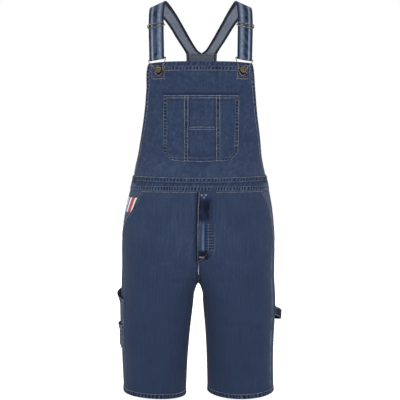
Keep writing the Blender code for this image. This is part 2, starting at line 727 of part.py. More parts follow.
def make_slider(side, word, finish):
    """A cast slider: two bars across the strap's face, one behind it, and the posts that join them."""
    rows, out = strap_rows(side)
    below = int(SLIDER_ROW)
    share = SLIDER_ROW - below
    edges = rows[below] * (1 - share) + rows[below + 1] * share
    normal = out[below] * (1 - share) + out[below + 1] * share
    clear = STRAP_THICK / 2 + SLIDER_CLEAR + BAR_RADIUS
    bar = SLIDER_WIDE - POST_WIDE
    up = SLIDER_TALL / 2 - BAR_RADIUS
    pieces = []
    for offset in ((0, up, clear), (0, -up, clear), (0, 0, -clear)):
        pieces.append((rod_mesh("slider_bar", BAR_RADIUS, bar), offset))
    for end in (-1, 1):
        post = box_mesh("slider_post", (POST_WIDE, SLIDER_TALL, 2 * (clear + BAR_RADIUS)))
        pieces.append((post, (end * bar / 2, 0, 0)))
    rotation = turn_to(normal, edges[1] - edges[0])
    body = None
    for mesh, offset in pieces:
        if body is None:
            obj = body = add_object("slider_" + word, mesh, finish)
        else:
            obj = bpy.data.objects.new("slider_tool_" + word, mesh)
            CUTTERS.objects.link(obj)
            obj.hide_render = True
            obj.display_type = "WIRE"
            join = body.modifiers.new("join", "BOOLEAN")
            join.operation = "UNION"
            join.object = obj
        obj.rotation_euler = rotation
        obj.location = Vector(edges.mean(0)) + rotation.to_matrix() @ Vector(offset)


def button_place(side):
    """The point of the bib behind a button's middle, and the way out of the bib there."""
    point = front_or_back(side * BUTTON_X, BUTTON_Z, -1)
    return point, outward(point)


def make_buckle(side, word, finish):
    """A bent wire: its bar inside the strap's fold, its pointed loop round the button."""
    rows, out = strap_rows(side)
    bar = rows[0].mean(0) - FOLD_RADIUS * out[0]
    along = (rows[0][1] - rows[0][0]) / np.linalg.norm(rows[0][1] - rows[0][0])
    down = rows[0].mean(0) - rows[1].mean(0)
    down /= np.linalg.norm(down)
    button, normal = button_place(side)
    across = along - normal * (along @ normal)
    across /= np.linalg.norm(across)
    below = np.cross(across, normal)
    below = below if below[2] < 0 else -below
    button = button + normal * WIRE_LIFT
    half = [bar + along * x + down * z for x, z in BUCKLE_BAR]
    half += [button + across * x + below * z for x, z in BUCKLE_LOOP]
    other = [bar - along * x + down * z for x, z in BUCKLE_BAR]
    other += [button - across * x + below * z for x, z in BUCKLE_LOOP]
    wire("buckle_" + word, half + [button + below * BUCKLE_TIP] + other[:0:-1], WIRE_RADIUS, finish)


def make_button(side, word, finish):
    """A turned shank button: a rimmed cap on a short post with a wider foot."""
    profile = (
        # radius, height above the wire's middle
        (0.0, 0.0046),
        (0.0022, 0.0044),
        (0.0030, 0.0034),
        (0.0052, 0.0034),
        (0.0066, 0.0044),
        (0.0079, 0.0042),
        (BUTTON_RADIUS, 0.0032),
        (0.0082, 0.0020),
        (0.0068, 0.0015),
        (0.0032, 0.0015),
        (0.0030, -0.0013),
        (0.0044, -0.0016),
        (0.0044, -0.0021),
        (0.0, -0.0021),
    )
    mesh = bpy.data.meshes.new("button")
    edges = [(i, i + 1) for i in range(len(profile) - 1)]
    mesh.from_pydata([(radius, 0.0, height) for radius, height in profile], edges, [])
    obj = add_object("button_" + word, mesh, finish)
    turn = obj.modifiers.new("turn", "SCREW")
    turn.steps = turn.render_steps = 20
    turn.use_merge_vertices = True
    turn.merge_threshold = 0.00005
    point, normal = button_place(side)
    obj.rotation_euler = turn_to(normal, (1.0, 0.0, 0.0))
    obj.location = point + normal * WIRE_LIFT


clear_scene()
PARTS = new_collection("bib overall shorts")
CUTTERS = new_collection("cutters", hidden=True)


def main():
    denim = material("denim", (0.036, 0.051, 0.095), 0.85)
    strap_denim = material("strap_denim", (0.080, 0.105, 0.170), 0.85)
    lining = material("pocket_cloth", (0.75, 0.74, 0.72), 0.9)
    brass = material("antique_brass", (0.24, 0.17, 0.08), 0.38, 1.0)
    dark_metal = material("dark_wire", (0.10, 0.085, 0.065), 0.4, 1.0)
    make_bib(denim)
    make_chest_pocket(denim)
    make_button_patches(denim)
    make_back(denim)
    make_waistbands(denim)
    for side, word in SIDES:
        make_leg_panel(side, word, -1, denim)
        make_leg_panel(side, word, 1, denim)
        make_strap(side, word, strap_denim)
        make_slider(side, word, dark_metal)
        make_buckle(side, word, dark_metal)
        make_button(side, word, brass)
    make_fly(denim)
    make_hip_pockets(denim, lining)
    make_thigh_pocket("carpenter_pocket", CARPENTER, CARPENTER_GAPE, CARPENTER_REACH, 0.0, 10, 8, denim)
    make_thigh_pocket("tool_pocket", TOOL, TOOL_GAPE, TOOL_REACH, OVER + PATCH, 7, 6, denim)
    make_hammer_loop(denim)


main()
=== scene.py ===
"""Looks of the denim bib-overall shorts.

Each piece of cloth is a thin shell on the surface that its solid was made from. A finer grid of the same
points gets seams, puckers and soft creases as relief, a tone for each point, and rows of thread stitches.
The front faces -Y.
"""

import math

import bpy
import numpy as np
from mathutils import Matrix, Vector


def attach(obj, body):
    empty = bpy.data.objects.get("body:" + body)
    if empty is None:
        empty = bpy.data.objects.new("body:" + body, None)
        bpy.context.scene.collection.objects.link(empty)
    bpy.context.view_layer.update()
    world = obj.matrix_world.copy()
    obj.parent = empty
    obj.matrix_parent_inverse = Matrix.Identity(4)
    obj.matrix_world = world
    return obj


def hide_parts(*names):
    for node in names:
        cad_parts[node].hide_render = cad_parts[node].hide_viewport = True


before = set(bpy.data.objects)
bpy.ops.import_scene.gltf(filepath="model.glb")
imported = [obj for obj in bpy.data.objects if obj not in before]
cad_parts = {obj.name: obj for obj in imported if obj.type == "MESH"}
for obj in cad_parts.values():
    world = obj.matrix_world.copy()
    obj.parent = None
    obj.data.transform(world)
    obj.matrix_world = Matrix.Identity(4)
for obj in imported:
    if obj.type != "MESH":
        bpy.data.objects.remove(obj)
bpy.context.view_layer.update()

# ---- Driving dimensions, in metres ----

SIDES = ((-1, "left"), (1, "right"))
FACINGS = ((-1, "front"), (1, "back"))
WORDS = dict(SIDES)

CLOTH = 0.0016  # one layer of denim with its seam allowance
BAND = 0.0026  # a doubled band
PATCH = 0.0014  # a patch pocket
THIN_PATCH = 0.0010
STRAP_THICK = 0.0024
GAP = 0.0003  # between neighbouring pieces
OVER = 0.0009  # what is sewn on top lies this far above the cloth under it
SEAM = 0.00025  # each panel stops this far short of its seam line
# The visible layers, without the seam allowance that their solids take in.
THIN, PATCH_THIN, LINING_THIN, DOUBLE, LOOP_THIN = 0.0012, 0.0011, 0.0009, 0.0022, 0.0018

SPLIT = (-0.590, -0.745)  # the trunk oval turns into the leg ovals between these heights

BIB_TOP = -0.1522
BIB_TOP_DROP = 0.0050  # the top edge falls this much from its middle to its corners
BIB_TOP_HALF = 0.1300
BIB_HEM_ROWS = 0.026  # the rows are closer together over this height
BIB_FLARE, FLARE_TOP = 0.0042, 0.372  # the sides widen this much towards the waistband, from this far down
WAIST_TOP = -0.4355
WAIST_SEAM = -0.4725
WAIST_DIP, WAIST_DIP_HALF = 0.0024, 0.150  # the waistband's top edge hangs this much in its middle
BAND_TURN = 1.5685  # radians each way from the middle, over which a waistband's points are spaced
SIDE_OPENING = 0.1585  # from the middle to the end of the front waistband's outer layer
OPENING_FOOT = 0.4530  # how far down the painted shade in its gap ends
BACK_TURN = 81  # degrees each way from the middle, over which the back's points are spaced

SEAT_CURVE_TOP = -0.640  # above this height the centre seams are nearly upright
LEG_RADIUS = 0.09  # roughly, to turn lengths into angles
LEG_ROWS = 27  # of each leg's solid
FARTHEST = 0.4  # no cloth is as far as this from the axis it goes round
CROTCH_LOWEST = 0.760  # the crotch is higher than this far down
SEAM_SHOWN = 0.0001  # half the gap between two panels
WORN_LINE = 0.0072  # how far in from a leg's outline washing has worn a line beside the side seam
FRONT_VIEW = 3.1  # a leg's outline is the one seen from this far in front
CROTCH_DARK = 0.0085  # painted shade darkens the cloth within this distance of the crotch, where its seams meet
ARCH_RISE, ARCH_HALF = 0.0045, 0.0070  # how far the cloth between the legs is drawn up, over what width
ARCH_SEAM, SEAM_HALF = 0.0030, 0.0028  # how much less the thick seam in its middle is

SLIDER_WIDE, SLIDER_TALL = 0.0445, 0.0130
SLIDER_CORNER = 0.0022
BAR_RADIUS = 0.0012  # of the slider's bars
POST_WIDE = 0.0022  # of the slider's ends
SLIDER_CLEAR = 0.0006  # between the slider's bars and the strap
SLIDER_ROW = 6.5  # the slider sits this many rows above the strap's lower fold

BUTTON_X, BUTTON_Z = 0.1025, -0.1735
WIRE_RADIUS = 0.0011
WIRE_LIFT = 0.0044  # from the bib's face to the middle of the wire round the button


def table(names, rows):
    """The columns of a table by name, each as an array, in order of rising z."""
    return dict(zip(names.split(), np.array(sorted(rows)).T))


# The trunk at each height: half its width, how far its front and back stand from the side seams, its middle
# line, and how square its corners are, where 2 is an ellipse.
TRUNK = table("z half front back middle square", (
    (-0.100, 0.1820, 0.0880, 0.1140, 0.0024, 2.4),
    (-0.120, 0.1800, 0.0940, 0.1175, 0.0024, 2.4),
    (-0.155, 0.1755, 0.1030, 0.1220, 0.0022, 2.4),
    (-0.220, 0.1720, 0.1130, 0.1230, 0.0014, 2.4),
    (-0.300, 0.1690, 0.1170, 0.1170, 0.0004, 2.4),
    (-0.380, 0.1675, 0.1145, 0.1100, -0.0010, 2.4),
    (-0.4355, 0.1692, 0.1125, 0.1090, -0.0022, 2.4),
    (-0.4490, 0.1722, 0.1135, 0.1105, -0.0024, 2.4),
    (-0.4725, 0.1768, 0.1155, 0.1140, -0.0027, 2.4),
    (-0.510, 0.1840, 0.1185, 0.1230, -0.0036, 2.4),
    (-0.541, 0.1889, 0.1205, 0.1310, -0.0046, 2.45),
    (-0.572, 0.1924, 0.1215, 0.1370, -0.0053, 2.5),
    (-0.602, 0.1934, 0.1213, 0.1395, -0.0056, 2.55),
    (-0.633, 0.1934, 0.1205, 0.1400, -0.0060, 2.6),
    (-0.665, 0.1934, 0.1190, 0.1390, -0.0060, 2.7),
    (-0.711, 0.1945, 0.1150, 0.1340, -0.0059, 2.7),
    (-0.760, 0.1950, 0.1100, 0.1280, -0.0060, 2.7),
))

# The legs: how far the inner and outer side of each is from the middle line, the depth to front and back, and
# how square the inner and the outer corners are.
LEGS = table("z inner_left outer_left inner_right outer_right front back square_in square_out", (
    (-0.590, 0.0070, 0.1940, 0.0070, 0.1935, 0.1190, 0.1380, 3.2, 2.0),
    (-0.660, 0.0100, 0.1935, 0.0100, 0.1930, 0.1165, 0.1360, 3.2, 2.0),
    (-0.690, 0.0112, 0.1945, 0.0112, 0.1932, 0.1145, 0.1330, 3.1, 2.0),
    (-0.7135, 0.0120, 0.1953, 0.0120, 0.1938, 0.1125, 0.1300, 3.0, 2.0),
    (-0.7300, 0.0124, 0.1959, 0.0124, 0.1945, 0.1105, 0.1265, 2.9, 2.0),
    (-0.7553, 0.0136, 0.1966, 0.0128, 0.1955, 0.1070, 0.1200, 2.7, 2.05),
    (-0.7860, 0.0170, 0.1968, 0.0149, 0.1952, 0.1035, 0.1140, 2.5, 2.1),
    (-0.8166, 0.0206, 0.1963, 0.0175, 0.1942, 0.1003, 0.1085, 2.4, 2.1),
    (-0.8470, 0.0239, 0.1956, 0.0198, 0.1930, 0.0975, 0.1045, 2.3, 2.15),
    (-0.8780, 0.0264, 0.1950, 0.0213, 0.1922, 0.0950, 0.1010, 2.25, 2.2),
    (-0.9080, 0.0287, 0.1941, 0.0222, 0.1918, 0.0925, 0.0980, 2.2, 2.2),
    (-0.9390, 0.0302, 0.1928, 0.0231, 0.1918, 0.0905, 0.0950, 2.2, 2.2),
    (-0.9700, 0.0316, 0.1916, 0.0238, 0.1920, 0.0885, 0.0925, 2.2, 2.2),
    (-0.9990, 0.0330, 0.1910, 0.0246, 0.1924, 0.0870, 0.0910, 2.2, 2.2),
))

# How far the cloth hangs outside the solids' surface: at the left and right side seams, and inside the legs.
SLACK = table("z left right inner", (
    (-0.4725, 0.0000, 0.0000, 0.0000),
    (-0.5000, 0.0008, 0.0004, 0.0000),
    (-0.5600, 0.0014, 0.0008, 0.0000),
    (-0.5850, 0.0017, 0.0016, 0.0000),
    (-0.6600, 0.0018, 0.0015, 0.0000),
    (-0.7010, 0.0021, 0.0008, 0.0000),
    (-0.7165, 0.0018, 0.0014, 0.0017),
    (-0.7350, 0.0016, 0.0019, 0.0012),
    (-0.7900, 0.0016, 0.0018, 0.0009),
    (-0.8600, 0.0018, 0.0008, 0.0009),
    (-0.9300, 0.0016, 0.0008, 0.0006),
    (-1.0000, 0.0014, 0.0006, 0.0006),
))

# The hem of each leg: its height at the leg's middle, its slope across, and its rise to the side seams.
HEMS = {-1: (-0.9949, -0.058, 0.0010), 1: (-0.9957, 0.0, 0.0060)}
HEM_REACH = -0.860  # the rows are level above this height

# The side edges of the bib, as x.
BIB_EDGES = table("z left right", (
    (-0.1520, -0.1285, 0.1270),
    (-0.1570, -0.1312, 0.1293),
    (-0.1620, -0.1325, 0.1303),
    (-0.2216, -0.1351, 0.1354),
    (-0.2814, -0.1406, 0.1406),
    (-0.3413, -0.1499, 0.1483),
    (-0.3713, -0.1552, 0.1512),
    (-0.4013, -0.1603, 0.1536),
    (-0.4163, -0.1628, 0.1557),
    (-0.4355, -0.1650, 0.1600),
))

# Half the width of the high back.
BACK_EDGES = table("z half", (
    (-0.1207, 0.0405),
    (-0.1350, 0.0396),
    (-0.1600, 0.0415),
    (-0.1900, 0.0490),
    (-0.2300, 0.0620),
    (-0.2800, 0.0810),
    (-0.3300, 0.1040),
    (-0.3700, 0.1260),
    (-0.4000, 0.1470),
    (-0.4200, 0.1600),
    (-0.4355, 0.1670),
))

# The chest pocket's outline.
CHEST_POCKET = table("z left right", (
    (-0.2357, -0.0917, 0.0949),
    (-0.3122, -0.0924, 0.0940),
    (-0.3450, -0.0929, 0.0934),
    (-0.3700, -0.0933, 0.0928),
    (-0.3735, -0.0933, 0.0927),
    (-0.3770, -0.0917, 0.0910),
    (-0.3855, -0.0838, 0.0840),
    (-0.3950, -0.0743, 0.0743),
))
POCKET_FOOT, POCKET_CORNER, POCKET_TOP = CHEST_POCKET["z"][[0, 3, 7]]  # its lower corners are cut off
# The x of each patch's two sides, and the z of its top and foot.
CENTRE_POCKET_SIDES, CENTRE_POCKET_ENDS = (-0.0410, 0.0485), (-0.3122, -0.3945)
BUTTON_PATCH_SIDES, BUTTON_PATCH_ENDS = (0.0885, 0.1215), (-0.1615, -0.1970)
POCKET_BELLY = 0.0066  # the chest pockets' lower edge hangs this much lower in its middle
POCKET_BELLY_HALF, POCKET_BELLY_TOP = 0.0750, -0.340
POCKET_LINES = (-0.0356, 0.0425)  # where the two double rows that divide the pocket run
POCKET_LINE_HALF = 0.0043

# The fly's left and right edges. Below its curve's top the right edge runs round to the left one.
FLY_LEFT, FLY_RIGHT = -0.0084, 0.0362
FLY_CURVE_TOP, FLY_CURVE_TALL = -0.6090, 0.0425
FLY_ROWS = (-0.4728, -0.5000, -0.5300, -0.5600, -0.5850, -0.6090, -0.6250, -0.6380, -0.6460, -0.6505)
FLY_SPOTS = ((0.0109, 0.0090), (0.0212, 0.0085), (0.0168, 0.0150))  # painted highlights where threads shine, as (across, down)

# From one stitch of a bar tack to the next, how far each falls, and its height above the cloth.
TACK_PITCH, TACK_LEAN, TACK_LIFT = 0.0007, 0.0004, 0.0024
TACKS = (
    # name, left end, top, width, height, slant
    ("fly_tack_low", -0.0050, -0.6325, 0.0150, 0.0036, 0.1),
    ("fly_tack_side", 0.0245, -0.6160, 0.0085, 0.0026, 0.2),
)

# Each strap from its lower fold over the shoulder to the back, by its outer and inner edge. x is outwards.
STRAP = (
    # outer x, y, z, inner x, y, z
    ((0.1266, -0.0840, -0.1475), (0.0910, -0.0975, -0.1415)),
    ((0.1278, -0.0740, -0.1095), (0.0918, -0.0870, -0.1040)),
    ((0.1290, -0.0615, -0.0720), (0.0926, -0.0725, -0.0665)),
    ((0.1294, -0.0420, -0.0370), (0.0926, -0.0490, -0.0270)),
    ((0.1284, -0.0190, -0.0180), (0.0896, -0.0220, -0.0010)),
    ((0.1250, 0.0040, -0.0125), (0.0870, 0.0020, 0.0046)),
    ((0.1180, 0.0370, -0.0190), (0.0790, 0.0290, -0.0030)),
    ((0.1005, 0.0650, -0.0315), (0.0665, 0.0530, -0.0210)),
    ((0.0845, 0.0865, -0.0505), (0.0505, 0.0790, -0.0475)),
    ((0.0620, 0.1070, -0.0860), (0.0275, 0.1020, -0.0870)),
    ((0.0466, 0.1150, -0.1090), (0.0122, 0.1110, -0.1105)),
    ((0.0408, 0.1165, -0.1200), (0.0004, 0.1175, -0.1200)),
)
BACK_DRIFT = 0.0024  # the straps' back ends sit this far to the right of the middle
STRAP_STEPS = 3  # rows from one section of the strap to the next, which its fittings are placed by
STRAP_FINE = 15  # and the rows of its cloth
FOLD_RADIUS = 0.0030  # of the middle of the cloth round the buckle bar
BEHIND_ROWS = 7  # the strap's doubled end has this many rows
BEHIND_NARROW = 0.10  # and is narrower than the strap by this share, at its inner edge

# Half of each buckle's wire, as (sideways, down): from its bar's middle, then from the button's middle.
BUCKLE_BAR = ((0.0, 0.0), (0.0120, 0.0), (0.0212, 0.0), (0.0226, 0.0012), (0.0224, 0.0040))
BUCKLE_LOOP = (
    (0.0165, -0.0135),
    (0.0118, -0.0095),
    (0.0108, -0.0040),
    (0.0112, 0.0015),
    (0.0090, 0.0075),
    (0.0050, 0.0120),
    (0.0018, 0.0143),
)
BUCKLE_TIP = 0.0148

# Half of a button's outline, as (radius, height): its face, and after the rolled rim its back and its post.
BUTTON_FACE = (
    *((0.0003, 0.0046), (0.0010, 0.00455), (0.0019, 0.0043), (0.0025, 0.0038)),
    *((0.0029, 0.0034), (0.0036, 0.0034), (0.0043, 0.0034), (0.0050, 0.0034)),
)
BUTTON_RIM = (0.0066, 0.0019, 0.0031, 0.0013)  # its middle's radius, half width, height and half height
BUTTON_POST = (
    *((0.0050, 0.0015), (0.0032, 0.0015), (0.0030, 0.0010), (0.0030, -0.0013)),
    *((0.0044, -0.0016), (0.0044, -0.0021), (0.0003, -0.0021)),
)

# The edge of each hip pocket's mouth, as the distance from the middle line.
POCKET_MOUTHS = {
    -1: table("z out", (
        (-0.4725, 0.1453),
        (-0.4980, 0.1570),
        (-0.5217, 0.1640),
        (-0.5383, 0.1735),
        (-0.5670, 0.1870),
        (-0.6000, 0.1948),
    )),
    1: table("z out", (
        (-0.4725, 0.1603),
        (-0.5104, 0.1765),
        (-0.5534, 0.1860),
        (-0.5991, 0.1915),
        (-0.6250, 0.1950),
    )),
}
POCKET_DROP = 0.0013  # the pocket cloth hangs this much below the panel that covers it
POCKET_GAPE = {-1: 0.0065, 1: 0.0012}  # how far each mouth stands off the body
GAPE_REACH = 0.045  # the front panel lifts over this width
FACING_BOTTOM = -0.4900
FACING_OVERLAP = 0.022  # how far the facing runs on under the front panel
PRINT_BOTTOM = -0.5270  # the left pocket's printed cloth ends here, where denim backs the mouth again
BAG_BOTTOM = -0.6120
BAG_TOP = FACING_BOTTOM - GAP
# The layers behind the mouths, each down to where the next one starts.
HIP_LAYERS = (
    # side, piece, part of it, top, foot
    (-1, "pocket_facing_", "", WAIST_SEAM - GAP, FACING_BOTTOM),
    (-1, "pocket_bag_", "_print", BAG_TOP, PRINT_BOTTOM),
    (-1, "pocket_bag_", "_foot", PRINT_BOTTOM - GAP, BAG_BOTTOM),
    (1, "pocket_facing_", "", WAIST_SEAM - GAP, FACING_BOTTOM),
    (1, "pocket_bag_", "", BAG_TOP, BAG_BOTTOM),
)
# Angles at the side seam, in radians: the least width of the pocket cloth there, how far from the mouth's
# edge it starts to rise, and the mouth widths between which it comes to rise all the way.
BAG_LEAST, BAG_START, BAG_WIDE = 0.05, 0.04, (0.16, 0.36)

# The patch pockets on the left outer thigh. Angles run from the inner side of the leg over its front.
THIGH_POCKETS = (
    # name, front angle, back angle, top, its rise to the back, bottom,
    # gape, reach of the gape, lift, columns, rows, seed
    ("carpenter_pocket", 146, 232, -0.7500, 0.0270, -0.8780, 0.0090, 0.0300, 0, 91, 70, 120),
    ("tool_pocket", 148, 200, -0.8143, 0, -0.8700, 0.0036, 0.0260, OVER + PATCH, 51, 34, 130),
)

# The hammer loop on the right outer thigh, from its front end to its back one: where its middle line runs
# round the leg, and how far that line stands off the leg.
HAMMER_LOOP = (
    # angle in degrees, z, stand-off
    (163.0, -0.7800, 0.0015),
    (168.0, -0.7815, 0.0020),
    (174.0, -0.7840, 0.0080),
    (180.0, -0.7865, 0.0140),
    (188.0, -0.7900, 0.0175),
    (196.0, -0.7935, 0.0150),
    (204.0, -0.7970, 0.0085),
    (210.0, -0.7995, 0.0022),
    (215.0, -0.8010, 0.0015),
)
HAMMER_HALF = 0.0114  # from its middle line to its upper and lower edges
HAMMER_SAG = 0.30  # the line hangs lower by this share of its stand-off

# Soft creases in the cloth, with painted shade in them. A depth below 0 is a ridge, with painted light on it.
CREASES = {
    # from x, z to x, z, half width, depth
    "bib": (
        (-0.145, -0.412, -0.060, -0.424, 0.0060, 0.0007),
        (-0.070, -0.410, 0.010, -0.404, 0.0050, 0.0005),
        (0.030, -0.418, 0.110, -0.410, 0.0055, 0.0006),
        (0.150, -0.405, 0.105, -0.380, 0.0060, 0.0006),
        (-0.110, -0.205, -0.098, -0.300, 0.0080, 0.0006),
        (0.112, -0.215, 0.120, -0.330, 0.0080, 0.0006),
        (-0.040, -0.185, -0.015, -0.228, 0.0060, -0.0005),
    ),
    "back": (
        (-0.020, -0.190, -0.034, -0.330, 0.0090, 0.0012),
        (0.030, -0.200, 0.040, -0.320, 0.0080, 0.0010),
        (-0.120, -0.415, -0.045, -0.402, 0.0070, 0.0014),
        (-0.070, -0.425, 0.015, -0.414, 0.0060, 0.0012),
        (0.130, -0.412, 0.050, -0.398, 0.0070, 0.0014),
        (0.000, -0.380, 0.070, -0.372, 0.0080, 0.0009),
        (-0.095, -0.330, -0.060, -0.385, 0.0080, -0.0010),
        (0.105, -0.340, 0.075, -0.395, 0.0080, -0.0010),
    ),
    # the legs, by side and facing
    (-1, -1): (
        (-0.012, -0.668, -0.075, -0.640, 0.0080, 0.0012),
        (-0.010, -0.694, -0.090, -0.690, 0.0090, 0.0014),
        (-0.016, -0.716, -0.070, -0.742, 0.0090, 0.0013),
        (-0.172, -0.800, -0.110, -0.822, 0.0060, 0.0009),
        (-0.150, -0.905, -0.060, -0.890, 0.0120, 0.0012),
        (-0.140, -0.560, -0.080, -0.580, 0.0090, 0.0007),
    ),
    (1, -1): (
        (0.010, -0.670, 0.060, -0.646, 0.0080, 0.0011),
        (0.004, -0.696, 0.085, -0.688, 0.0090, 0.0013),
        (0.012, -0.720, 0.062, -0.752, 0.0090, 0.0012),
        (0.086, -0.800, 0.178, -0.815, 0.0055, 0.0013),
        (0.060, -0.900, 0.140, -0.915, 0.0130, 0.0011),
        (0.150, -0.560, 0.100, -0.590, 0.0090, 0.0007),
    ),
    (-1, 1): (
        (-0.020, -0.640, -0.110, -0.668, 0.0110, 0.0026),
        (-0.018, -0.682, -0.130, -0.712, 0.0100, 0.0030),
        (-0.170, -0.690, -0.080, -0.735, 0.0100, 0.0024),
        (-0.030, -0.740, -0.120, -0.762, 0.0100, 0.0020),
        (-0.170, -0.840, -0.080, -0.815, 0.0110, 0.0018),
        (-0.060, -0.870, -0.150, -0.895, 0.0120, 0.0016),
        (-0.120, -0.520, -0.050, -0.545, 0.0120, 0.0012),
    ),
    (1, 1): (
        (0.012, -0.636, 0.100, -0.660, 0.0110, 0.0024),
        (0.010, -0.678, 0.125, -0.716, 0.0105, 0.0030),
        (0.165, -0.700, 0.070, -0.738, 0.0100, 0.0022),
        (0.025, -0.744, 0.110, -0.770, 0.0100, 0.0021),
        (0.165, -0.830, 0.085, -0.812, 0.0110, 0.0017),
        (0.055, -0.880, 0.145, -0.900, 0.0120, 0.0016),
        (0.110, -0.515, 0.040, -0.540, 0.0120, 0.0012),
    ),
}

# ---- Looks ----

MIDDLE = 0.5  # a tone runs from 0, dark indigo in the folds, through this, the washed cloth, to 1, worn white, and it also carries painted shade and painted highlights
FINE = 0.0018  # the usual distance between the points of a grid
STITCH_PITCH, STITCH_LONG = 0.0033, 0.0027  # from one stitch to the next, and the length of each
THREAD_RADIUS, THREAD_SIDES = 0.00038, 4
GROOVE_DEEP, GROOVE_WIDE = 0.00025, 0.0011  # of the groove that a row of stitches pulls in
EDGE_ROUND, EDGE_ROLL = 0.0022, 0.0006  # a hem's edge is rounded over this width, and falls this much
STITCH_RINGS = (
    # share of the stitch, height over the cloth in thread radii, thickness in thread radii
    (0.00, -0.9, 0.45),
    (0.22, 0.35, 0.95),
    (0.50, 0.62, 1.00),
    (0.78, 0.35, 0.95),
    (1.00, -0.9, 0.45),
)

# The colours of the tones on the cloth's face and on its inner side.
FACE_TONES = (
    (0.00, (0.0010, 0.0012, 0.0060)),
    (0.25, (0.0051, 0.0099, 0.0278)),
    (0.50, (0.0149, 0.0254, 0.0561)),
    (0.70, (0.0445, 0.0658, 0.1107)),
    (1.00, (0.1780, 0.2060, 0.2630)),
)
INNER_TONES = (
    (0.00, (0.0040, 0.0058, 0.0135)),
    (0.25, (0.0200, 0.0250, 0.0380)),
    (0.50, (0.0690, 0.0810, 0.1110)),
    (0.75, (0.1350, 0.1500, 0.1920)),
    (1.00, (0.2800, 0.2950, 0.3400)),
)
TWILL_PITCH, WARP_PITCH = 0.00062, 0.00045
STRIPE_PITCH = 0.0460
STRIPE_SLANT = 0.34  # how far the stripes lean, as u for each v
PLAIN, RED, BLUE = (0.62, 0.62, 0.64), (0.30, 0.045, 0.035), (0.045, 0.10, 0.24)
THREADS = (
    # name, colours from the greyest places to the cleanest
    ("thread", ((0.17, 0.17, 0.175), (0.29, 0.275, 0.26), (0.42, 0.38, 0.34))),
    ("faint_thread", ((0.060, 0.066, 0.085), (0.13, 0.125, 0.13), (0.22, 0.205, 0.19))),
    ("tack_thread", ((0.060, 0.052, 0.048), (0.105, 0.090, 0.080), (0.17, 0.148, 0.128))),
)
METALS = (
    # name, dark finish, bright metal, roughness
    ("antique_brass", (0.038, 0.030, 0.024), (0.19, 0.155, 0.110), 0.45),
    ("dark_wire", (0.045, 0.042, 0.040), (0.26, 0.245, 0.215), 0.38),
)

FLOOR = -1.012
WORLD_LIGHT = 1.0
LAMPS = (
    # name, place, watts, size
    ("key", (-1.6, -3.2, 1.4), 42.0, 1.8),
    ("fill", (1.9, -3.0, 0.6), 26.0, 2.0),
)
CAMERA_PLACE = (-0.0018, -3.115, -0.3213)
CAMERA_LENS = 109.8
CAMERA_TILT = 3.2839  # degrees down


# ---- The surface that the cloth lies on ----


def at(columns, name, z):
    """A column of a table at any height, by smooth cubics through its rows, level beyond its ends."""
    heights, values = columns["z"], columns[name]
    slopes = np.gradient(values, heights)
    z = np.clip(z, heights[0], heights[-1])
    row = np.clip(np.searchsorted(heights, z) - 1, 0, len(heights) - 2)
    step = heights[row + 1] - heights[row]
    t = (z - heights[row]) / step
    return (
        values[row] * (1 + 2 * t) * (1 - t) ** 2
        + slopes[row] * step * t * (1 - t) ** 2
        + values[row + 1] * t * t * (3 - 2 * t)
        + slopes[row + 1] * step * t * t * (t - 1)
    )


def smooth(x, low, high):
    """0 at low, 1 at high, level at both ends."""
    t = np.clip((x - low) / (high - low), 0, 1)
    return t * t * (3 - 2 * t)


def bell(x, centre, wide):
    """1 at the centre, falling away on both sides."""
    return np.exp(-(((x - centre) / wide) ** 2))


def unit(vectors):
    """The vectors, each with a length of 1."""
    return vectors / np.linalg.norm(vectors, axis=-1, keepdims=True)


def oval(x, y, half, front, back, square):
    """Below 0 inside an oval, above 0 outside it."""
    depth = np.where(y < 0, front, back)
    return (np.abs(x / half) ** square + np.abs(y / depth) ** square) ** (1 / square) - 1


def middle_line(z):
    return at(TRUNK, "middle", z)


def leg_middle(side, z):
    """The x of a leg's axis."""
    reach = (at(LEGS, "inner_" + WORDS[side], z) + at(LEGS, "outer_" + WORDS[side], z)) / 2
    return middle_line(z) + side * reach


def leg_half(side, z):
    return (at(LEGS, "outer_" + WORDS[side], z) - at(LEGS, "inner_" + WORDS[side], z)) / 2


def field(side, x, y, z):
    """Below 0 inside the shorts on one side, -1 or 1, and above 0 outside them."""
    sizes = (at(TRUNK, name, z) for name in ("half", "front", "back", "square"))
    trunk = oval(x - middle_line(z), y, *sizes)
    across = x - leg_middle(side, z)
    square = np.where(side * across < 0, at(LEGS, "square_in", z), at(LEGS, "square_out", z))
    leg = oval(across, y, leg_half(side, z), at(LEGS, "front", z), at(LEGS, "back", z), square)
    turn = smooth(z, *SPLIT)
    return trunk * (1 - turn) + leg * turn


def field_of(left, x, y, z):
    """The left side's field where left is true, and the right side's elsewhere."""
    return np.where(left, field(-1, x, y, z), field(1, x, y, z))


def root(function, low, high, steps=32):
    """Where a function of an array turns from negative, at low, to positive, at high."""
    low, high = np.broadcast_arrays(np.asarray(low, float), np.asarray(high, float))
    for _ in range(steps):
        middle = (low + high) / 2
        inside = function(middle) < 0
        low = np.where(inside, middle, low)
        high = np.where(inside, high, middle)
    return (low + high) / 2


def round_leg(side, angle, z):
    """The cloth round a leg's axis: angle 0 is inwards, a quarter turn frontwards, a half turn outwards."""
    angle, z = np.broadcast_arrays(np.asarray(angle, float), np.asarray(z, float))
    middle = leg_middle(side, z)

    def place(radius):
        return middle - side * radius * np.cos(angle), -radius * np.sin(angle)

    radius = root(lambda r: field(side, *place(r), z), np.zeros_like(z), np.full_like(z, FARTHEST))
    x, y = place(radius)
    outer = at(SLACK, WORDS[side], z) * smooth(-np.cos(angle), 0.35, 0.95)
    inner = at(SLACK, "inner", z) * smooth(np.cos(angle), 0.35, 0.95)
    return np.stack([x + side * (outer - inner), y, z], -1)


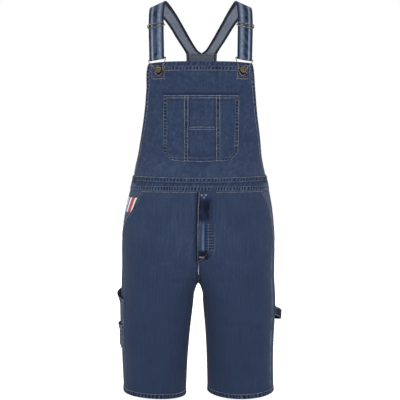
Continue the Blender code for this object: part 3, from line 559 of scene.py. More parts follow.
def front_or_back(x, z, facing):
    """The surface straight in front of (-1) or behind (1) a point of the middle plane."""
    x, z = np.broadcast_arrays(np.asarray(x, float), np.asarray(z, float))
    left = x < middle_line(z)
    depth = root(lambda d: field_of(left, x, facing * d, z), np.zeros_like(z), np.full_like(z, FARTHEST))
    return np.stack([x, facing * depth, z], -1)


def outward(points):
    """The surface's outward normals at points on it."""
    left = points[..., 0] < middle_line(points[..., 2])
    slopes = []
    for step in 1e-4 * np.eye(3):
        ahead, behind = (np.moveaxis(points + sign * step, -1, 0) for sign in (1, -1))
        slopes.append(field_of(left, *ahead) - field_of(left, *behind))
    return unit(np.stack(slopes, -1))


def lifted(points, height):
    """Points on the surface moved out along its normals."""
    return points + outward(points) * np.asarray(height, float)[..., None]


def patch_at(x, z, height):
    """The front of the surface at x and z, lifted by a height."""
    return lifted(front_or_back(x, z, -1), height)


def curve_through(knots, steps):
    """Points along a Catmull-Rom curve through some knots, which may be points or rows of points."""
    knots = np.asarray(knots, float)
    padded = np.concatenate([[2 * knots[0] - knots[1]], knots, [2 * knots[-1] - knots[-2]]])
    points = []
    for i in range(len(knots) - 1):
        a, b, c, d = padded[i : i + 4]
        second, third = a - 2.5 * b + 2 * c - d / 2, 1.5 * (b - c) + (d - a) / 2
        for t in np.arange(steps) / steps:
            points.append(b + t * (c - a) / 2 + t * t * second + t**3 * third)
    return np.array(points + [knots[-1]])


# ---- Noise and grids ----


def hashed(i, j, seed):
    """A fixed number from 0 to 1 for each pair of whole numbers."""
    wave = np.sin(i * 127.1 + j * 311.7 + seed * 74.7) * 43758.5453
    return wave - np.floor(wave)


def noise(u, v, seed):
    """Smooth noise from -1 to 1, with one lump to a unit."""
    u, v = np.broadcast_arrays(u, v)
    i, j = np.floor(u), np.floor(v)
    a, b = smooth(u - i, 0, 1), smooth(v - j, 0, 1)
    low = hashed(i, j, seed) * (1 - a) + hashed(i + 1, j, seed) * a
    high = hashed(i, j + 1, seed) * (1 - a) + hashed(i + 1, j + 1, seed) * a
    return 2 * (low * (1 - b) + high * b) - 1


def bump(x, low, high, soft):
    """1 between low and high, 0 outside, with soft ends of this width."""
    return smooth(x, low - soft / 2, low + soft / 2) * (1 - smooth(x, high - soft / 2, high + soft / 2))


def steps_between(knots, spacing=FINE):
    """Values from the first knot to the last through each one, evenly spaced between neighbours."""
    parts = []
    for low, high in zip(knots[:-1], knots[1:]):
        count = max(1, round(abs(high - low) / spacing))
        parts.append(np.linspace(low, high, count, endpoint=False))
    return np.append(np.concatenate(parts), knots[-1])


def lengths(grid, axis):
    """How far each point of a grid is along its own column (axis 0) or row (axis 1)."""
    step = np.linalg.norm(np.diff(grid, axis=axis), axis=-1)
    return np.insert(np.cumsum(step, axis=axis), 0, 0.0, axis=axis)


def grid_normals(grid, facing):
    """Unit normals of a grid, on the side of a direction given for its middle point."""
    normals = np.cross(np.gradient(grid, axis=0), np.gradient(grid, axis=1))
    normals /= np.maximum(np.linalg.norm(normals, axis=-1, keepdims=True), 1e-12)
    middle = normals[grid.shape[0] // 2, grid.shape[1] // 2]
    return normals if middle @ facing > 0 else -normals


def sampled(values, path):
    """The values of a grid at fractional (row, column) places."""
    rows, columns = values.shape[:2]
    i = np.clip(path[:, 0], 0, rows - 1.000001)
    j = np.clip(path[:, 1], 0, columns - 1.000001)
    i0, j0 = i.astype(int), j.astype(int)
    a, b = (i - i0)[:, None], (j - j0)[:, None]
    near = values[i0, j0] * (1 - b) + values[i0, j0 + 1] * b
    far = values[i0 + 1, j0] * (1 - b) + values[i0 + 1, j0 + 1] * b
    return near * (1 - a) + far * a


class Cloth:
    """A piece of cloth: a grid of points on its outer face, with its relief, tones and rows of stitches.

    Its edges are top (the first row), foot (the last), start (the first column) and end (the last). The grid
    of a centred piece lies in the middle of the cloth.
    """

    def __init__(self, name, grid, thick, facing=None, grain=None, centred=False):
        self.name, self.grid, self.thick, self.centred = name, grid, thick, centred
        if facing is None:
            facing = outward(grid[grid.shape[0] // 2, grid.shape[1] // 2])
        self.facing = facing
        self.normals = grid_normals(grid, facing)
        self.x, self.z = grid[..., 0], grid[..., 2]
        down, across = lengths(grid, 0), lengths(grid, 1)
        self.reach = {"top": down, "foot": down[-1:] - down, "start": across, "end": across[:, -1:] - across}
        self.grain = (across, down) if grain is None else grain
        self.height = np.zeros(grid.shape[:2])
        self.tone = np.full(grid.shape[:2], MIDDLE)
        self.inner_tone = np.full(grid.shape[:2], MIDDLE)
        self.seams = []
        self.cut = (across[:, -1].max(), down[-1].max())
        sides = np.cross(np.diff(grid, axis=0)[:, :-1], np.diff(grid, axis=1)[:-1])
        self.area = np.linalg.norm(sides, axis=-1).sum()

    def faces(self):
        """The points of the outer and the inner face, and the outer one's normals."""
        outer = self.grid + self.normals * self.height[..., None]
        normals = grid_normals(outer, self.facing)
        if self.centred:
            outer = outer + normals * self.thick / 2
        return outer, outer - normals * self.thick, normals

    def by(self, edge, low, high):
        """1 within the low distance of an edge, 0 beyond the high one."""
        return 1 - smooth(self.reach[edge], low, high)

    def strip(self, edge, low, high, soft):
        """1 between two distances from an edge."""
        return bump(self.reach[edge], low, high, soft)

    def hem(self, edge, wide, step=0.0005, worn=0.10):
        """The cloth is turned under along an edge: a raised band with a rounded, worn edge, and painted shade
        in a thin line just beyond the band.
        """
        rounded = self.by(edge, 0, EDGE_ROUND)
        self.height += step * self.by(edge, wide - 0.0012, wide + 0.0012) - EDGE_ROLL * rounded**2
        # Painted shade in a thin line just beyond the band, below its step.
        self.tone += worn * rounded - 0.06 * self.strip(edge, wide, wide + 0.0020, 0.0015)

    def press(self, edge, deep, wide=0.0030):
        """The edge is pulled down onto what it is sewn to."""
        self.height -= deep * self.by(edge, 0, wide) ** 2

    def pucker(self, edge, near, far, deep, dark, pitch=0.0085, seed=0, light=0.45, slant=0.0, where=1.0):
        """Uneven gathers between two distances from an edge, dark in their hollows and worn on their tops."""
        d, s = self.reach[edge], self.reach["start" if edge in ("top", "foot") else "top"]
        wander = 0.45 * noise(s / 0.022, 0.0, seed + 3) + 0.12 * noise(s / 0.004, d / 0.006, seed + 8)
        wave = np.cos(2 * math.pi * ((s + slant * d) / pitch + wander))
        strength = 0.62 + 0.38 * noise(s / 0.012, 0.5, seed + 5)
        hollow = smooth(wave, -0.15, 0.75) * strength
        top = smooth(-wave, 0.1, 0.9)
        band = self.strip(edge, near, far, 0.0022) * where
        self.height += deep * band * (top - hollow)
        self.tone += 1.6 * dark * band * (light * top - hollow)

    def sew(self, edge, *insets, trim=0.0, between=(-9.0, 9.0), line=0.03, colour=0, both=False):
        """Rows of stitches at these distances from an edge, each in a slight groove.

        trim leaves out their ends, between keeps what lies between two heights, both shows them inside too.
        """
        d = self.reach[edge] if edge in ("start", "end") else self.reach[edge].T
        order = slice(None, None, 1 if edge in ("start", "top") else -1)
        number = np.arange(d.shape[1])[order]
        for inset in insets:
            on = bell(self.reach[edge], inset, GROOVE_WIDE) * (self.z > between[0]) * (self.z < between[1])
            self.height -= GROOVE_DEEP * on
            self.tone += line * on
            found = np.array([np.interp(inset, distances[order], number) for distances in d])
            path = np.stack([np.arange(len(d)), found], 1)
            if edge in ("top", "foot"):
                path = path[:, ::-1]
            height = sampled(self.z[..., None], path)[:, 0]
            kept = (height > between[0]) & (height < between[1])
            self.seams.append((path[kept], trim, colour, both))

    def sew_through(self, points):
        """A row of stitches through points given as x and z."""
        rows, columns = self.x.shape
        path = []
        for along, height in points:
            nearest = np.argmin((self.x - along) ** 2 + (self.z - height) ** 2)
            row = np.interp(-height, -self.z[:, nearest % columns], np.arange(rows))
            path.append((row, np.interp(along, self.x[nearest // columns], np.arange(columns))))
        self.seams.append((np.array(path), 0.0, 0, False))

    def crease(self, lines, tone):
        """Soft troughs, or ridges where deep is below 0, that fade at both ends, with painted shade in the
        troughs and painted light on the ridges.
        """
        for x0, z0, x1, z1, wide, deep in lines:
            long = math.hypot(x1 - x0, z1 - z0)
            t = ((self.x - x0) * (x1 - x0) + (self.z - z0) * (z1 - z0)) / long**2
            away = ((self.x - x0) * (z1 - z0) - (self.z - z0) * (x1 - x0)) / long
            # The line bends a little, and is wider in its middle.
            away = away + 0.12 * wide * np.sin(5 * t + 40 * x0)
            fade = np.sin(np.clip(t, 0, 1) * math.pi) ** 0.8
            shape = np.exp(-((away / (wide * (0.6 + 0.4 * fade))) ** 2)) * fade
            self.height -= deep * shape
            # Painted shade in the troughs and painted light on the ridges.
            self.tone += tone * deep * shape

    def speckle(self, seed):
        """Small uneven spots that washing leaves in the cloth."""
        across, down = self.grain
        self.tone += 0.026 * noise(across / 0.0090, down / 0.0070, seed)
        self.tone += 0.040 * noise(across / 0.0036, down / 0.0040, seed + 1)


# ---- Meshes ----


def mesh_from(name, points, quads):
    """A closed mesh of four-sided faces, turned outwards."""
    a, b, c, d = (points[quads[:, k]] for k in range(4))
    if (np.cross(a, b) * c).sum() + (np.cross(a, c) * d).sum() < 0:
        quads = quads[:, ::-1]
    mesh = bpy.data.meshes.new(name)
    mesh.vertices.add(len(points))
    mesh.vertices.foreach_set("co", np.asarray(points, np.float32).ravel())
    mesh.loops.add(quads.size)
    mesh.loops.foreach_set("vertex_index", quads.astype(np.int32).ravel())
    mesh.polygons.add(len(quads))
    mesh.polygons.foreach_set("loop_start", np.arange(0, quads.size, 4, dtype=np.int32))
    mesh.polygons.foreach_set("use_smooth", np.full(len(quads), True))
    mesh.update(calc_edges=True)
    return mesh


def linked(name, data):
    """A new object in the scene."""
    obj = bpy.data.objects.new(name, data)
    bpy.context.scene.collection.objects.link(obj)
    return obj


def place(name, mesh, finish, slot, *nodes):
    """A piece of the object that rides on the one body and stands for some of the CAD nodes."""
    obj = linked(name, mesh)
    mesh.materials.append(finish)
    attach(obj, "root")
    if nodes:
        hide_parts(*nodes)
    return obj


def quads_between(first, second):
    """Faces between two equally long loops of point numbers."""
    return np.stack([first, second, np.roll(second, -1), np.roll(first, -1)], 1)


def shell_mesh(cloth):
    """A closed wall from a piece of cloth: its outer face, its inner face and a rounded rim.

    Each point keeps its tone in red, and in green how much it belongs to the inner side.
    """
    rows, columns = cloth.x.shape
    outer, inner, normals = cloth.faces()
    count = rows * columns
    number = np.arange(count).reshape(rows, columns)
    quads = [number[:-1, :-1], number[1:, :-1], number[1:, 1:], number[:-1, 1:]]
    quads = np.stack(quads, -1).reshape(-1, 4)
    # The ring of points round the edge runs the other way from the outer face's own edges.
    ring = np.concatenate([number[0, :-1], number[:-1, -1], number[-1, :0:-1], number[:0:-1, 0]])
    flat_outer, flat_inner = outer.reshape(-1, 3), inner.reshape(-1, 3)
    middle = (flat_outer[ring] + flat_inner[ring]) / 2
    away = np.cross(np.roll(middle, -1, 0) - np.roll(middle, 1, 0), normals.reshape(-1, 3)[ring])
    away /= np.maximum(np.linalg.norm(away, axis=1, keepdims=True), 1e-12)
    # A step from the middle of the first row into the cloth tells which way is out.
    if away[columns // 2] @ (outer[1, columns // 2] - outer[0, columns // 2]) > 0:
        away = -away
    points = np.concatenate([flat_outer, flat_inner, middle + away * cloth.thick * 0.35])
    rim = 2 * count + np.arange(len(ring))
    sides = np.concatenate([quads_between(ring, rim), quads_between(rim, ring + count)])
    mesh = mesh_from(cloth.name, points, np.concatenate([quads, (quads + count)[:, ::-1], sides[:, ::-1]]))

    tone = np.concatenate([cloth.tone.ravel(), cloth.inner_tone.ravel(), cloth.tone.ravel()[ring]])
    inside = np.concatenate([np.zeros(count), np.ones(count), np.full(len(ring), 0.3)])
    colour = np.stack([np.clip(tone, 0, 1), inside, 0 * tone, 0 * tone + 1], 1)
    # The tone, with its painted shade and painted highlights, goes to the material in this layer.
    layer = mesh.attributes.new("wash", "FLOAT_COLOR", "POINT")
    layer.data.foreach_set("color", colour.astype(np.float32).ravel())
    chart = np.stack([values.ravel() for values in np.broadcast_arrays(*cloth.grain)], 1)
    chart = np.concatenate([chart, chart, chart[ring]])
    loops = np.empty(len(mesh.loops), np.int32)
    mesh.loops.foreach_get("vertex_index", loops)
    layer = mesh.uv_layers.new(name="grain")
    layer.data.foreach_set("uv", chart[loops].astype(np.float32).ravel())
    return mesh


def thread_mesh(name, runs):
    """Stitches along runs of (points, normals): short threads that dip into the cloth at their ends."""
    parts = [[], [], []]
    for points, normals in runs:
        far = lengths(points[None], 1)[0]
        first = np.arange(0, far[-1] - STITCH_LONG, STITCH_PITCH)
        last, half = first + STITCH_LONG, first + STITCH_LONG / 2
        for part, where, values in zip(parts, (first, last, half), (points, points, normals)):
            part.append(np.stack([np.interp(where, far, values[:, k]) for k in range(3)], 1))
    return capsules(name, *map(np.concatenate, parts))


def capsules(name, starts, ends, ups):
    """Short rounded threads from starts to ends."""
    along = unit(ends - starts)
    ups = unit(ups - along * (ups * along).sum(1, keepdims=True))
    across = np.cross(along, ups)
    turn = np.arange(THREAD_SIDES) * 2 * math.pi / THREAD_SIDES
    spokes = across[:, None] * np.cos(turn)[None, :, None] + ups[:, None] * np.sin(turn)[None, :, None]
    rings = []
    for share, height, thick in STITCH_RINGS:
        centre = starts + (ends - starts) * share + ups * height * THREAD_RADIUS
        rings.append(centre[:, None] + spokes * THREAD_RADIUS * thick)
    rings = np.stack(rings, 1)
    number = np.arange(rings[..., 0].size).reshape(rings.shape[:3])
    low, high = number[:, :-1], number[:, 1:]
    body = np.stack([low, np.roll(low, -1, 2), np.roll(high, -1, 2), high], -1).reshape(-1, 4)
    return mesh_from(name, rings.reshape(-1, 3), np.concatenate([body, number[:, 0, ::-1], number[:, -1]]))


# ---- Materials ----


class Paint:
    """A material and its shader nodes."""

    def __init__(self, name, inputs):
        self.material = bpy.data.materials.new(name)
        self.material.use_nodes = True
        self.tree = self.material.node_tree
        self.shader = self.tree.nodes["Principled BSDF"]
        self.give(self.shader, inputs)

    def give(self, made, inputs):
        """Sets inputs, by name or number, to a number, a colour or another node's output."""
        for key, value in dict(inputs).items():
            if isinstance(value, bpy.types.NodeSocket):
                self.tree.links.new(value, made.inputs[key])
            else:
                made.inputs[key].default_value = value

    def node(self, kind, inputs=(), **settings):
        made = self.tree.nodes.new("ShaderNode" + kind)
        for key, value in settings.items():
            setattr(made, key, value)
        self.give(made, inputs)
        return made

    def math(self, operation, *values):
        """The output of Math nodes that join values two at a time."""
        result = values[0]
        for value in values[1:]:
            result = self.node("Math", {0: result, 1: value}, operation=operation).outputs[0]
        return result

    def plus(self, *values):
        return self.math("ADD", *values)

    def times(self, *values):
        return self.math("MULTIPLY", *values)

    def sine(self, value):
        return self.node("Math", {0: value}, operation="SINE").outputs[0]

    def noise(self, where, **inputs):
        return self.node("TexNoise", {"Vector": where, **inputs}).outputs

    def ramp(self, value, stops, interpolation="LINEAR"):
        """A colour ramp through (position, colour) stops."""
        made = self.node("ValToRGB", {0: value})
        made.color_ramp.interpolation = interpolation
        elements = made.color_ramp.elements
        for position, colour in stops[1:-1]:
            elements.new(position).color = (*colour, 1)
        for element, (position, colour) in ((elements[0], stops[0]), (elements[-1], stops[-1])):
            element.position, element.color = position, (*colour, 1)
        return made.outputs["Color"]

    def finish(self, colour, height, strength, distance):
        """The material with its colour and its fine relief joined to the shader."""
        raised = self.node("Bump", {"Height": height, "Strength": strength, "Distance": distance})
        self.give(self.shader, {"Base Color": colour, "Normal": raised.outputs[0]})
        return self.material


def denim_material():
    """Indigo twill whose worn places, painted shade and painted highlights are carried on the mesh, with its
    fine weave and its slubs.
    """
    sheen = {"Sheen Weight": 0.05, "Sheen Roughness": 0.45, "Sheen Tint": (0.62, 0.72, 0.9, 1)}
    denim = Paint("denim", {"Roughness": 0.86, "Specular IOR Level": 0.12, **sheen})
    wash = denim.node("Attribute", attribute_name="wash").outputs["Color"]
    face, inside = denim.node("SeparateColor", {0: wash}).outputs[:2]
    u, v = denim.node("SeparateXYZ", {0: denim.node("UVMap", uv_map="grain").outputs[0]}).outputs[:2]
    turn = 2 * math.pi
    diagonal = (denim.times(way, turn / TWILL_PITCH * share) for way, share in ((u, 0.80), (v, 0.60)))
    twill = denim.sine(denim.plus(*diagonal))
    warp = denim.sine(denim.times(u, turn / WARP_PITCH))

    def streaks(across, down, detail):
        where = denim.node("CombineXYZ", {0: denim.times(u, across), 1: denim.times(v, down)}).outputs[0]
        return denim.math("SUBTRACT", denim.noise(where, Scale=1.0, Detail=detail)[0], 0.5)

    slub = denim.plus(denim.times(streaks(300, 14, 2.0), 0.16), denim.times(streaks(1400, 90, 1.0), 0.20))
    mottle = denim.times(streaks(24, 18, 3.0), 0.10)
    weave = denim.plus(denim.times(twill, 0.045), denim.times(warp, 0.02))
    outer = denim.ramp(denim.plus(face, slub, mottle, weave), FACE_TONES)
    inner = denim.ramp(denim.plus(face, slub, denim.times(twill, -0.06)), INNER_TONES)
    mix = denim.node("Mix", {0: inside, 6: outer, 7: inner}, data_type="RGBA")
    relief = denim.plus(twill, denim.times(slub, 4.0), denim.times(warp, 0.4))
    return denim.finish(mix.outputs[2], relief, 0.35, 0.00012)


def thread_material(name, colours):
    """Cotton thread, with grey places."""
    thread = Paint(name, {"Roughness": 0.75, "Specular IOR Level": 0.2})
    where = thread.node("TexCoord").outputs["Object"]
    patches = thread.noise(where, Scale=90.0, Detail=2.0)[0]
    fibres = thread.noise(where, Scale=2500.0, Detail=1.0)[0]
    return thread.finish(thread.ramp(patches, tuple(zip((0.36, 0.50, 0.66), colours))), fibres, 0.3, 0.0001)


def pocket_cloth_material():
    """White pocket cloth with plain slanted stripes in red and blue."""
    cloth = Paint("striped_pocket_cloth", {"Roughness": 0.9})
    u, v = cloth.node("SeparateXYZ", {0: cloth.node("UVMap", uv_map="grain").outputs[0]}).outputs[:2]
    slanted = cloth.math("DIVIDE", cloth.plus(u, cloth.times(v, STRIPE_SLANT)), STRIPE_PITCH)
    repeat = cloth.node("Math", {0: slanted, 1: 1.0, 2: 0.0}, operation="WRAP").outputs[0]
    stripes = cloth.ramp(repeat, ((0.0, RED), (0.36, PLAIN), (0.54, BLUE), (0.82, PLAIN)), "CONSTANT")
    height, weave = cloth.noise(cloth.node("TexCoord").outputs["Object"], Scale=900.0)
    tint = cloth.node("Mix", {0: 0.16, 6: stripes, 7: weave}, data_type="RGBA", blend_type="MULTIPLY")
    return cloth.finish(tint.outputs[2], height, 0.25, 0.0001)


def metal_material(name, dark, bright, roughness):
    """Antiqued metal: a dark finish that has worn back to the bright metal in places."""
    metal = Paint(name, {"Metallic": 1.0})
    where = metal.node("TexCoord").outputs["Object"]
    worn = metal.noise(where, Scale=260.0, Detail=4.0, Roughness=0.6)[0]
    dull = metal.node("MapRange", {0: worn, 1: 0.35, 2: 0.7, 3: roughness + 0.15, 4: roughness - 0.08})
    metal.give(metal.shader, {"Roughness": dull.outputs[0]})
    return metal.finish(metal.ramp(worn, ((0.38, dark), (0.68, bright))), worn, 0.2, 0.0003)


DENIM = denim_material()
LINING = pocket_cloth_material()
THREAD, FAINT_THREAD, TACK = (thread_material(*row) for row in THREADS)
BRASS, WIRE = (metal_material(*row) for row in METALS)


# ---- Finished pieces ----


def finish_cloth(cloth, node_name, held, rests_on, slot="denim", material=DENIM):
    obj = place(cloth.name, shell_mesh(cloth), material, slot, node_name)
    outer, _, normals = cloth.faces()
    for colour, finish, word in ((0, THREAD, "_thread"), (1, FAINT_THREAD, "_faint_thread")):
        runs = []
        for path, trim, which, both in cloth.seams:
            if which != colour or len(path) < 3:
                continue
            points, ups = sampled(outer, path), sampled(normals, path)
            far = lengths(points[None], 1)[0]
            first, last = np.broadcast_to(trim, 2)
            kept = (far >= first) & (far <= far[-1] - last)
            if kept.sum() > 2:
                runs.append((points[kept], ups[kept]))
                if both:
                    runs.append((points[kept] - ups[kept] * cloth.thick, -ups[kept]))
        if runs:
            place(cloth.name + word, thread_mesh(cloth.name + word, runs), finish, slot)


def waist_dip(x):
    """How far the front waistband's top edge and the bib above it hang down."""
    return WAIST_DIP * np.clip(1 - (x / WAIST_DIP_HALF) ** 2, 0, 1)


def bellied(x, z):
    """The height of a chest pocket's row where it hangs lower in its middle."""
    middle = np.clip(1 - (x / POCKET_BELLY_HALF) ** 2, 0, 1)
    return z - POCKET_BELLY * middle * smooth(z, POCKET_BELLY_TOP, POCKET_FOOT)


def make_bib():
    fold = BIB_TOP - BIB_HEM_ROWS
    z = np.append(steps_between((BIB_TOP, fold), 0.0013)[:-1], steps_between((fold, WAIST_TOP + GAP), 0.0024))
    z = z[:, None]
    share = np.linspace(0, 1, 127)
    flare = BIB_FLARE * smooth(-z, FLARE_TOP, -WAIST_TOP)
    x = (at(BIB_EDGES, "left", z) - flare) * (1 - share) + (at(BIB_EDGES, "right", z) + flare) * share
    sag = BIB_TOP_DROP * (x / BIB_TOP_HALF) ** 4 * smooth(z, POCKET_TOP, BIB_TOP)
    dip = waist_dip(x) * smooth(-z, -POCKET_FOOT, -WAIST_TOP)
    bib = Cloth("bib_cloth", front_or_back(x, z - sag - dip, -1), THIN)
    bib.hem("top", 0.0232, worn=0.06)
    bib.pucker("top", 0.0145, 0.0205, 0.00060, 0.30, pitch=0.0082, seed=1)
    bib.pucker("top", 0.0020, 0.0110, 0.00030, 0.10, pitch=0.0110, seed=14)
    bib.sew("top", 0.0226, trim=0.010, both=True)
    bib.sew("top", 0.0130, trim=0.046, colour=1)
    for edge, seed in (("start", 2), ("end", 3)):
        bib.hem(edge, 0.0095, worn=0.02)
        bib.pucker(edge, -0.0010, 0.0066, 0.00045, 0.50, pitch=0.0092, seed=seed, light=0.25)
        bib.sew(edge, 0.0090, both=True)
    bib.crease(CREASES["bib"], -6)
    bib.tone += 0.035 * smooth(bib.z, -0.38, -0.43)
    bib.speckle(15)
    # The shadow along the chest pocket's top edge.
    inside = bump(bib.x, CHEST_POCKET["left"][-1], CHEST_POCKET["right"][-1], 0.004)
    bib.tone -= 0.18 * bump(bib.z - POCKET_TOP, 0.0010, 0.0050, 0.0025) * inside
    finish_cloth(bib, "bib_front", "hung", ["strap_left", "strap_right"])


def make_chest_pocket():
    z = steps_between((POCKET_TOP, POCKET_CORNER, POCKET_FOOT))[:, None]
    share = np.linspace(0, 1, 99)
    x = at(CHEST_POCKET, "left", z) * (1 - share) + at(CHEST_POCKET, "right", z) * share
    pocket = Cloth("chest_pocket_cloth", patch_at(x, bellied(x, z), OVER + PATCH), PATCH_THIN)
    pocket.hem("top", 0.0118, worn=0.16)
    pocket.pucker("top", 0.0030, 0.0062, 0.00030, 0.20, seed=7, light=0.1)
    pocket.pucker("top", 0.0090, 0.0120, 0.00030, 0.14, seed=8, light=0.1)
    pocket.sew("top", 0.0018, 0.0072, trim=0.002)
    for edge, seed in (("start", 4), ("end", 5), ("foot", 6)):
        pocket.hem(edge, 0.0100, step=0.0003)
        pocket.press(edge, 0.0010)
        pocket.pucker(edge, 0.0032, 0.0092, 0.00040, 0.34, pitch=0.0080, seed=seed, light=0.3)
        pocket.sew(edge, 0.0020, trim=0.002, colour=int(edge == "start"))
        pocket.sew(edge, 0.0105, trim=0.002, colour=1)
    pocket.speckle(17)
    heights = np.linspace(POCKET_TOP - 0.001, POCKET_FOOT + 0.002, 90)
    for centre in POCKET_LINES:
        across = pocket.x - centre
        for offset in (-POCKET_LINE_HALF, POCKET_LINE_HALF):
            groove = bell(across, offset, 0.0013)
            pocket.height -= 0.0004 * groove
            pocket.tone += 0.07 * groove
            pocket.sew_through([(centre + offset, bellied(centre + offset, h)) for h in heights])
        gathers = noise(pocket.z / 0.0042, across / 0.03, 9 + centre * 100)
        inside = bump(across, -POCKET_LINE_HALF + 0.0015, POCKET_LINE_HALF - 0.0015, 0.002)
        pocket.height -= 0.0003 * inside * gathers
        pocket.tone -= 0.22 * inside * smooth(gathers, -0.2, 0.4)
        # Painted shadow of the edge of the centre pocket, or of the fold that runs on above it, on the side
        # towards the middle.
        inner = -np.sign(centre) * across - POCKET_LINE_HALF
        pocket.tone -= 0.16 * bump(inner, 0.0012, 0.0042, 0.002)
    finish_cloth(pocket, "chest_pocket", "laid", ["bib_front"])


def make_centre_pocket():
    x, z = steps_between(CENTRE_POCKET_SIDES), steps_between(CENTRE_POCKET_ENDS)[:, None]
    grid = patch_at(x, bellied(x, z), 2 * (OVER + PATCH) - 0.0006)
    pocket = Cloth("centre_pocket_cloth", grid, PATCH_THIN)
    pocket.hem("top", 0.0085, worn=0.06)
    pocket.sew("top", 0.0020, 0.0080, trim=0.012)
    for edge, first, seed in (("start", 0.0011, 12), ("end", 0.0017, 13)):
        second = first + 2 * POCKET_LINE_HALF
        pocket.press(edge, 0.0014)
        pocket.sew(edge, first, second)
        near, far = first + 0.0018, second - 0.0018
        pocket.pucker(edge, near, far, 0.0003, 0.24, pitch=0.0080, seed=seed, light=0.3)
        # Painted shadow beside the double rows, on the side towards the middle.
        pocket.tone -= 0.16 * pocket.strip(edge, second + 0.0012, second + 0.0042, 0.002)
    pocket.press("foot", 0.0014)
    pocket.sew("foot", 0.0030)
    pocket.sew("foot", 0.0110, colour=1)
    pocket.speckle(19)
    pocket.tone -= 0.03 * smooth(pocket.z, -0.36, -0.39)
    finish_cloth(pocket, "chest_pocket_centre", "laid", ["chest_pocket"])


def make_button_patches():
    z = steps_between(BUTTON_PATCH_ENDS, 0.0010)[:, None]
    for side, word in SIDES:
        x = side * steps_between(BUTTON_PATCH_SIDES, 0.0010)
        patch = Cloth("button_patch_cloth_" + word, patch_at(x, z, OVER + THIN_PATCH), LINING_THIN)
        for number, edge in enumerate(("top", "foot", "start", "end")):
            patch.hem(edge, 0.0050, step=0.0002, worn=0.22)
            patch.press(edge, 0.0007)
            patch.sew(edge, 0.0018, trim=0.001)
            patch.sew(edge, 0.0066, trim=0.001, colour=1)
            patch.pucker(edge, 0.0030, 0.0060, 0.0002, 0.34, pitch=0.0052, seed=20 + number + side)
        # The patch a little darker, with painted shadow round the button and its wire.
        from_button = np.hypot(patch.x - side * BUTTON_X, patch.z - BUTTON_Z)
        patch.tone -= 0.04 + 0.40 * (1 - smooth(from_button, 0.0085, 0.0140))
        finish_cloth(patch, "button_patch_" + word, "laid", ["bib_front"])


def make_back():
    z = steps_between(BACK_EDGES["z"][[-1, 0]], 0.0034)[:, None]
    z[-1] += GAP
    share = np.sin(np.radians(np.linspace(-BACK_TURN, BACK_TURN, 121)))
    x = middle_line(z) + at(BACK_EDGES, "half", z) * share / share[-1]
    back = Cloth("back_cloth", front_or_back(x, z, 1), THIN)
    back.hem("top", 0.0100)
    back.sew("top", 0.0016, 0.0085, both=True)
    for edge, seed in (("start", 30), ("end", 31)):
        back.hem(edge, 0.0090, worn=0.04)
        back.pucker(edge, 0.0010, 0.0065, 0.00035, 0.16, seed=seed, slant=0.25)
        back.sew(edge, 0.0018, 0.0082, both=True)
        # Painted shade on the inner face along the side edges.
        back.inner_tone -= 0.28 * back.by(edge, 0.006, 0.010)
    # A felled seam down the middle.
    from_middle = back.x - middle_line(back.z)
    back.height -= 0.0005 * bell(from_middle, 0, 0.0012)
    back.tone += 0.08 * bell(from_middle, 0.003, 0.002) - 0.1 * bell(from_middle, 0, 0.001)
    for offset in (0.0020, 0.0085):
        heights = np.linspace(BACK_EDGES["z"][-1] - 0.012, BACK_EDGES["z"][0] + 0.002, 120)
        back.sew_through([(middle_line(h) + offset, h) for h in heights])
    back.crease(CREASES["back"], -5)
    finish_cloth(back, "back_bib", "hung", ["strap_left", "strap_right"])


def make_waistbands():
    z = steps_between((WAIST_TOP, WAIST_SEAM + GAP), 0.0013)[:, None]
    x = middle_line(z) + at(TRUNK, "half", z) * np.sin(np.linspace(-BAND_TURN, BAND_TURN, 281))
    high = smooth(z, WAIST_SEAM, WAIST_TOP)
    for facing, name in FACINGS:
        dip = high * waist_dip(x) * (facing < 0)
        grid = lifted(front_or_back(x, z - dip, facing), BAND - CLOTH)
        band = Cloth("waistband_cloth_" + name, grid, DOUBLE)
        for edge in ("top", "foot"):
            band.press(edge, 0.0009, 0.0024)
            band.tone += 0.06 * band.by(edge, 0, 0.0018)
        # At the sides the front band ends in an opening that its under layer shows through, with painted
        # shade in the gap down to OPENING_FOOT and the under layer a little lighter below.
        beyond = smooth(np.abs(x - middle_line(z)), SIDE_OPENING, SIDE_OPENING + 0.0015) * (facing < 0)
        on = 1 - beyond
        seed = 45 + 5 * facing
        band.pucker("top", 0.0036, 0.0098, 0.0007, 0.30, 0.0082, seed, light=0.35, slant=0.05, where=on)
        band.pucker("foot", 0.0018, 0.0100, 0.0006, 0.26, 0.0074, seed + 1, light=0.5, where=on)
        band.pucker("top", 0.0150, 0.0240, 0.0005, 0.05, 0.0130, seed + 2, slant=0.5, where=on)
        band.tone -= 0.12 * on * band.strip("top", 0.0146, 0.0172, 0.0015)
        band.sew("top", 0.0020)
        band.sew("top", 0.0118, colour=1)
        band.sew("foot", 0.0112, 0.0013, colour=1)
        under = smooth(-z, OPENING_FOOT - 0.0020, OPENING_FOOT + 0.0020)
        # Painted shade in the opening's gap, and a lighter under layer below it.
        band.tone += beyond * (0.10 * under - 0.30 * (1 - under))
        band.speckle(seed + 4)
        band.height -= 0.0010 * beyond * (1 - under)
        for edge in ("start", "end"):
            band.press(edge, 0.0008)
        finish_cloth(band, "waistband_" + name, "stretched", ["leg_front_left", "leg_front_right"])


# ---- Legs ----


